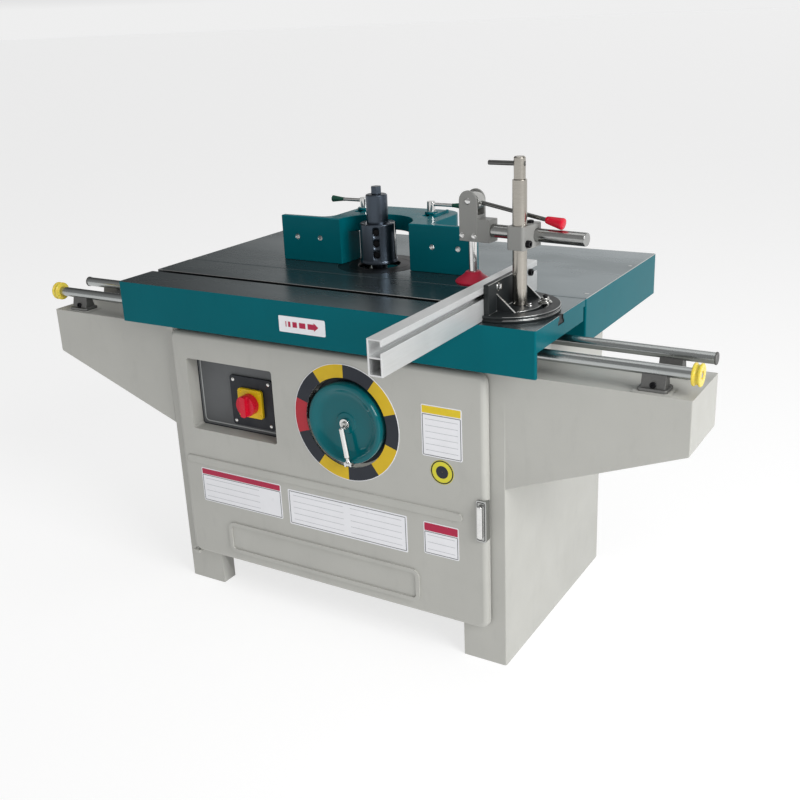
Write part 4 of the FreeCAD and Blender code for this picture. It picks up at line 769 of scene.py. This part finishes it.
# Travel arrow: edges and corner of its plate, height and ends of its bars, corners of its head
ARROW_PLATE = (-0.071, 0.060, 0.776, 0.815, 0.003)
ARROW_LOW = 0.7895
ARROW_HIGH = 0.8025
ARROW_BARS = [(-0.0515, -0.0490), (-0.0440, -0.0375), (-0.0315, -0.0190), (-0.0125, 0.0050),
              (0.0115, 0.0290)]
ARROW_HEAD = [(0.029, 0.786), (0.0415, 0.796), (0.029, 0.806)]


def travel_arrow():
    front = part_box("sliding_table")[0].y
    plate = front_plate(*ARROW_PLATE, front, PLATE_THICK)
    keep("arrow_plate", plate, "slide_table", "plate_white")
    marks = [front_plate(left, right, ARROW_LOW, ARROW_HIGH, corner=0, y=front, thick=BAND_THICK)
             for left, right in ARROW_BARS]
    head = bmesh.new()
    head.faces.new([head.verts.new((x, front + TOUCH, z)) for x, z in ARROW_HEAD])
    marks.append(thicken(head, BAND_THICK + TOUCH))
    keep("arrow_marks", gather(marks), "slide_table", "plate_red")


table_top("fixed_table")
table_top("sliding_table", SLOT_LINE)
rail_bumpers()
rail_details()
table_screws()
travel_arrow()


# Handwheel and dial

WHEEL_BORE = 0.0101
# Wheel's profile as radius and distance from its front: the dished face, then the back, web and hub
WHEEL_FACE = [(WHEEL_BORE, 0.010), (0.022, 0.010), (0.0252, 0.0106), (0.0275, 0.0132), (0.0310, 0.0138),
              (0.066, 0.0138), (0.0735, 0.0126), (0.0815, 0.0068), (0.0868, 0.0022), (0.0910, 0.0004),
              (0.0945, 0.0), (0.0978, 0.0008), (0.0998, 0.003)]
WHEEL_BACK = [(0.1, 0.029), (0.098, 0.030), (0.0905, 0.030), (0.088, 0.028), (0.0855, 0.0235),
              (0.030, 0.0232), (0.026, 0.025), (0.0255, 0.0435), (WHEEL_BORE, 0.044), (WHEEL_BORE, 0.010)]


def wheel_dish():
    low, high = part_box("handwheel")
    mid = middle_of("handwheel")
    radius = (high.x - low.x) / 2
    profile = WHEEL_FACE + [(radius, 0.006), (radius, 0.026)] + WHEEL_BACK
    shell = turned(profile, (mid.x, low.y, mid.z), REAR, steps=96)
    piece = keep("handwheel_finished", shell, "wheel", "wheel_teal")
    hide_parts("handwheel")
    nut_foot = (mid.x, low.y + 0.0032, mid.z)
    nut = hex_head(flats=0.013, height=0.005, foot=nut_foot, axis=FRONT, turn=0.2)
    keep("wheel_hub_nut", nut, "wheel", "zinc_bolt")


# A black cup behind the handwheel: painted shade in the gap round the wheel
def wheel_gap_shade_cup():
    mid = middle_of("handwheel")
    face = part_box("handwheel")[0].y + 0.0325
    inside = face + 0.002
    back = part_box("lift_gearbox")[0].y + TOUCH
    tube = 0.0300
    wall = 0.0310
    rim = 0.1105
    cup = [(tube, face), (rim - 0.001, face), (rim, face + 0.001), (rim, inside),
           (wall, inside), (wall, back), (tube, back), (tube, face)]
    keep("wheel_gap_shade_cup", turned(cup, (mid.x, 0, mid.z), REAR, steps=96), "base", "dial_black")


# Finishes of the dial's sectors, clockwise from its top
SECTORS = ["dial_black", "dial_yellow"] * 3 + ["dial_black", "dial_red", "dial_black", "dial_yellow"]


def dial():
    face_width = 0.034
    rim_width = 0.0014
    rim_start = 0.0012
    finishes = ("dial_black", "dial_yellow", "dial_red", "plate_white")
    low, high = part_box("dial_ring")
    mid = middle_of("dial_ring")
    thick = high.y - low.y
    outer = (high.x - low.x) / 2
    inner = outer - face_width
    section = [(inner, 0), (outer - rim_width, 0), (outer, 0), (outer, thick), (inner, thick), (inner, 0)]
    shell = turned(section, (mid.x, low.y, mid.z), REAR, steps=120)
    for face in shell.faces:
        arm = face.calc_center_median() - Vector((mid.x, 0, mid.z))
        reach = math.hypot(arm.x, arm.z)
        around = math.degrees(math.atan2(arm.x, arm.z)) % 360
        sector = SECTORS[int(around // (360 / len(SECTORS)))]
        face.material_index = finishes.index("plate_white" if reach > outer - rim_start else sector)
    piece = keep("dial_ring_finished", shell, "door", *finishes)
    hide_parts("dial_ring")


wheel_dish()
wheel_gap_shade_cup()
dial()


# Spindle and hood

def drum_cutters():
    mid = middle_of("spacer_sleeve")
    bottom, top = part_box("cutter_drum")
    facing = math.radians(25)
    way = Vector((math.sin(facing), -math.cos(facing), 0))
    seat_radius = 0.0385
    screws = []
    for rise in (0.024, 0.053, 0.082):
        foot = Vector((mid.x, mid.y, bottom.z + rise)) + way * seat_radius
        screws.append(socket_head(radius=0.0086, height=0.002, foot=foot, axis=way))
    keep("drum_screws", gather(screws), "spindle", "black_screw")
    inner = (0.0335, -0.0016, bottom.z + 0.009)
    outer = (0.0484, 0.0016, top.z + 0.0012)
    knife = slab(inner, outer, round_off=0.0005)
    turn = Matrix.Rotation(math.radians(8), 3, "Z")
    bmesh.ops.rotate(knife, cent=ORIGIN, matrix=turn, verts=knife.verts)
    bmesh.ops.translate(knife, vec=(mid.x, mid.y, 0), verts=knife.verts)
    keep("drum_knife", knife, "spindle", "chrome_plate")


def hood_casting():
    hole_reach = (0.049, 0.122)
    hole_rise = 0.0647
    hole_radius = 0.0085
    finishes = ("teal_enamel", "bare_metal_and_highlight")
    shell = cad_copy("fence_hood")
    ease_edges(shell, width=0.0015)
    low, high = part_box("fence_hood")
    # The walls of the hood's holes take the light bare metal: machined metal, and a painted highlight for
    # the glints in them
    for face in shell.faces:
        middle = face.calc_center_median()
        reach = min(middle.x - low.x, high.x - middle.x)
        for hole in hole_reach:
            away = math.hypot(reach - hole, middle.z - low.z - hole_rise)
            if abs(face.normal.y) < FACING and away < hole_radius:
                face.material_index = finishes.index("bare_metal_and_highlight")
    stand_for("fence_hood", shell, *finishes)


def lock_lever(node, joint):
    grip_start = 0.0625
    pad_height = 0.0064
    boss_radius = 0.0112
    finishes = ("chrome_plate", "dark_green_knob", "teal_enamel")
    shell = cad_copy(node)
    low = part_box(node)[0]
    ease_edges(shell, width=0.0008)
    centre = Vector(JOINT[joint]["pos_m"])
    for face in shell.faces:
        arm = face.calc_center_median() - centre
        if abs(arm.x) > grip_start:
            face.material_index = finishes.index("dark_green_knob")
        elif arm.z + centre.z < low.z + pad_height and arm.xy.length > boss_radius:
            face.material_index = finishes.index("teal_enamel")
    stand_for(node, shell, *finishes)


drum_cutters()
hood_casting()
lock_lever("left_lock_lever", "left_lock_turn")
lock_lever("right_lock_lever", "right_lock_turn")


# Mitre gauge

# The casting's eased edges have a material slot of their own, the last one
def gauge_casting():
    slanted = 0.3
    finishes = ("black_casting", "bare_metal_and_highlight", "black_casting")
    shell = cad_copy("gauge_head")
    for face in ease_edges(shell, width=0.001):
        face.material_index = len(finishes) - 1
    # Slopes facing right and up, toward the key lamp, take the light bare metal as a painted highlight
    for face in shell.faces:
        if face.normal.x > slanted and slanted < face.normal.z < LEVEL:
            face.material_index = finishes.index("bare_metal_and_highlight")
    stand_for("gauge_head", shell, *finishes)


# The pin is slimmed a little, so that the eased casting swivels freely round it
def slot_bar():
    slimming = 0.0003
    axis_near = 0.001
    shell = cad_copy("guide_bar")
    ease_edges(shell, width=0.0006)
    axis = Vector(JOINT["gauge_swivel"]["pos_m"])
    pin_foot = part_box("sliding_table")[1].z - 0.0002
    for vert in shell.verts:
        arm = (vert.co - axis).xy
        if vert.co.z > pin_foot and arm.length > axis_near:
            vert.co.xy = axis.xy + arm * (1 - slimming / arm.length)
    # The bar lies in the table's slot and takes the dark iron as painted shade
    stand_for("guide_bar", shell, "painted_shade_iron")


def washer_ring(bore, radius, bevelled):
    side = 0.0018
    thick = 0.0022
    return [(bore, 0), (radius, 0), (radius, side), (bevelled, thick), (bore, thick), (bore, 0)]


def gauge_bolts():
    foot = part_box("gauge_lock_bolt")[0].z
    mid = middle_of("gauge_lock_bolt")
    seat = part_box("mast")[0].z
    shank_radius = 0.0054
    shank_top = seat + 0.0004
    shank = [(0, foot), (shank_radius, foot), (shank_radius, shank_top), (0, shank_top)]
    wide = washer_ring(bore=0.005, radius=0.0150, bevelled=0.0145)
    narrow = washer_ring(bore=0.0052, radius=0.0128, bevelled=0.0122)
    stack = [turned(shank, (mid.x, mid.y, 0), UP, steps=24),
             turned(wide, (mid.x, mid.y, seat + 0.0003), UP, steps=48),
             turned(narrow, (mid.x, mid.y, seat + 0.0025), UP, steps=48),
             hex_head(flats=0.017, height=0.0075, foot=(mid.x, mid.y, seat + 0.0045), axis=UP, turn=0.5)]
    piece = keep("gauge_lock_bolt_finished", gather(stack), "gauge", "zinc_bolt")
    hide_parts("gauge_lock_bolt")
    stud_foot = (mid.x, mid.y, seat + 0.0118)
    stud = socket_head(radius=0.0052, height=0.0062, foot=stud_foot, axis=UP, socket=0.6)
    keep("gauge_lock_stud", stud, "gauge", "black_screw")
    fence_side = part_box("gauge_fence")[1].x
    wall = fence_side + 0.0123 - TOUCH
    bolt_out = 0.0605
    bolt_z = 0.9145
    bolts = [hex_head(flats=0.012, height=0.006, foot=(wall, y, bolt_z), axis=RIGHT, turn=0.3,
                      washer=0.0085, thick=0.0016)
             for y in (SLOT_LINE - bolt_out, SLOT_LINE + bolt_out)]
    small_foot = (0.5065, SLOT_LINE - 0.004, seat - TOUCH)
    bolts.append(hex_head(flats=0.009, height=0.005, foot=small_foot, axis=UP, turn=0.1,
                          washer=0.0065, thick=0.0012))
    keep("gauge_bolts", gather(bolts), "gauge_top", "chrome_plate")
    slot_foot = (fence_side - 0.0005, 0.063, 0.9027)
    slot_bolt = socket_head(radius=0.0078, height=0.008, foot=slot_foot, axis=RIGHT)
    keep("fence_slot_bolt", slot_bolt, "gauge_top", "black_screw")


gauge_casting()
slot_bar()
gauge_bolts()


# Clamp

ALONG = Vector(JOINT["arm_slide"]["axis"])
OUTWARD = Vector(JOINT["lever_turn"]["axis"])
PIVOT = Vector(JOINT["lever_turn"]["pos_m"])
# Where pieces on the clamp head's cheeks start, from its middle
CHEEK = 0.019 - TOUCH


def arm_point(reach, out, z):
    place = PIVOT + ALONG * reach + OUTWARD * out
    return Vector((place.x, place.y, z))


def clamp_fasteners():
    bolt_reach = 0.0155
    bolt_z = 0.9965
    bolts = []
    for side in (1, -1):
        for reach in (-bolt_reach, bolt_reach):
            foot = arm_point(reach, side * CHEEK, bolt_z)
            bolts.append(hex_head(flats=0.0088, height=0.0035, foot=foot, axis=OUTWARD * side, turn=0.2,
                                  washer=0.006, thick=0.001))
    keep("clamp_head_bolts", gather(bolts), "arm", "chrome_plate")
    pins = []
    for side in (-1, 1):
        foot = arm_point(0, side * CHEEK, PIVOT.z)
        pins.append(dome_head(radius=0.0072, height=0.003, foot=foot, axis=OUTWARD * side))
    keep("lever_pin_heads", gather(pins), "lever", "chrome_plate")
    post = middle_of("mast")
    low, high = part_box("cross_clamp")
    right = Vector((post.x, post.y, low.z + 0.0135)) + ALONG * 0.0208 + OUTWARD * 0.006
    top = Vector((post.x, post.y, high.z - TOUCH)) + ALONG * 0.0042 - OUTWARD * 0.0365
    screws = [socket_head(radius=0.0078, height=0.009, foot=right, axis=ALONG),
              socket_head(radius=0.0075, height=0.0055, foot=top, axis=UP)]
    keep("cross_clamp_screws", gather(screws), "cross", "black_screw")


def cam_and_lever():
    cam_radius = 0.0285
    finishes = ("zinc_bolt", "burnished_rod")
    shell = cad_copy("cam_lever")
    ease_edges(shell, width=0.0008)
    for face in shell.faces:
        if (face.calc_center_median() - PIVOT).length > cam_radius:
            face.material_index = finishes.index("burnished_rod")
    stand_for("cam_lever", shell, *finishes)


# Profile of the grip: radius and distance from its inner end
GRIP = [(0, 0.0), (0.0050, 0.0003), (0.0070, 0.0016), (0.0080, 0.0042), (0.0092, 0.012), (0.0109, 0.026),
        (0.0124, 0.0365), (0.0127, 0.0395), (0.0118, 0.0418), (0.0095, 0.0428), (0.0, 0.0430)]
# Profile of the press foot: radius and height above its sole
FOOT = [(0, 0), (0.0345, 0), (0.0388, 0.0014), (0.0406, 0.0042), (0.0407, 0.0064), (0.0388, 0.0092),
        (0.0345, 0.0122), (0.0262, 0.0176), (0.0202, 0.0226), (0.0176, 0.0262), (0.0164, 0.0276),
        (0.0148, 0.028), (0.0098, 0.028), (0.0097, 0.016), (0, 0.016)]


def red_lever_grip():
    drop = math.radians(9.0)
    grip_start = 0.186
    way = ALONG * math.cos(drop) - Vector((0, 0, math.sin(drop)))
    piece = keep("lever_knob_finished", turned(GRIP, PIVOT + way * grip_start, way), "lever", "red_grip")
    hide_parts("lever_knob")


def press_pad():
    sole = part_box("press_foot")[0].z
    mid = middle_of("press_foot")
    shell = turned(FOOT, (mid.x, mid.y, sole), UP, steps=72)
    piece = keep("press_foot_finished", shell, "press", "red_foot")
    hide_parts("press_foot")


clamp_fasteners()
cam_and_lever()
red_lever_grip()
press_pad()


# Stage, light and camera

def pale_floor():
    shell = bmesh.new()
    bmesh.ops.create_grid(shell, x_segments=1, y_segments=1, size=300.0)
    mesh = bpy.data.meshes.new("floor")
    shell.to_mesh(mesh)
    shell.free()
    shader = new_finish("pale_floor")[1]
    shader.inputs["Base Color"].default_value = (0.36, 0.36, 0.36, 1)
    shader.inputs["Roughness"].default_value = 0.85
    shader.inputs["Emission Color"].default_value = (1, 1, 1, 1)
    shader.inputs["Emission Strength"].default_value = 0.72
    mesh.materials.append(FINISH["pale_floor"])
    floor = bpy.data.objects.new("floor", mesh)
    bpy.context.scene.collection.objects.link(floor)


def soft_box(name, place, aim, size, power):
    lamp = bpy.data.lights.new(name, "AREA")
    lamp.shape = "RECTANGLE"
    lamp.size = size
    lamp.size_y = size
    lamp.energy = power
    holder = bpy.data.objects.new(name, lamp)
    holder.location = place
    holder.rotation_euler = (Vector(aim) - Vector(place)).to_track_quat("-Z", "Y").to_euler()
    bpy.context.scene.collection.objects.link(holder)


# The room is bright behind the machine, darker at its sides, and even along the horizon
def pale_room():
    horizon = 0.86
    world = bpy.data.worlds.new("pale_room")
    bpy.context.scene.world = world
    world.use_nodes = True
    tree = world.node_tree
    way = tree.nodes.new("ShaderNodeTexCoord")
    parts = tree.nodes.new("ShaderNodeSeparateXYZ")
    tree.links.new(way.outputs["Generated"], parts.inputs["Vector"])
    climb = spread(tree, parts.outputs["Z"], low=0.0, high=1.0, start=0.02, end=0.09)
    side = tree.nodes.new("ShaderNodeVectorMath")
    side.operation = "DOT_PRODUCT"
    side.inputs[1].default_value = (0.1, 0.995, 0.0)
    tree.links.new(way.outputs["Generated"], side.inputs[0])
    back = spread(tree, side.outputs["Value"], low=0.08, high=1.2, start=0.62, end=0.95)
    front = spread(tree, side.outputs["Value"], low=0.27, high=0.0, start=-0.7, end=0.3)
    sky = tree.nodes.new("ShaderNodeMath")
    sky.operation = "ADD"
    tree.links.new(back, sky.inputs[0])
    tree.links.new(front, sky.inputs[1])
    blend = tree.nodes.new("ShaderNodeMix")
    blend.inputs["A"].default_value = horizon
    tree.links.new(climb, blend.inputs["Factor"])
    tree.links.new(sky.outputs["Value"], blend.inputs["B"])
    background = tree.nodes["Background"]
    background.inputs["Color"].default_value = (1, 1, 1, 1)
    tree.links.new(blend.outputs["Result"], background.inputs["Strength"])


def studio():
    soft_box("right_window", place=(4.4, -1.45, 2.8), aim=(0.2, 0.0, 0.5), size=2.4, power=185)
    soft_box("overhead", place=(0.3, 0.4, 4.6), aim=(0.0, 0.0, 0.6), size=4.0, power=45)
    pale_room()
    bpy.context.scene.view_settings.view_transform = "Standard"


def photo_camera():
    lens = bpy.data.cameras.new("photo_camera")
    lens.sensor_fit = "HORIZONTAL"
    lens.sensor_width = 36.0
    lens.lens = 46.60
    right = Vector((0.858946, 0.510461, -0.040505))
    down = Vector((0.143828, -0.316420, -0.937652))
    ahead = Vector((-0.491452, 0.799567, -0.345207))
    place = (1.38625, -2.04504, 1.45044)
    eye = bpy.data.objects.new("photo_camera", lens)
    turn = Matrix((right, -down, -ahead)).transposed().to_4x4()
    eye.matrix_world = Matrix.Translation(place) @ turn
    bpy.context.scene.collection.objects.link(eye)
    bpy.context.scene.camera = eye


pale_floor()
studio()
photo_camera()

bpy.context.view_layer.update()
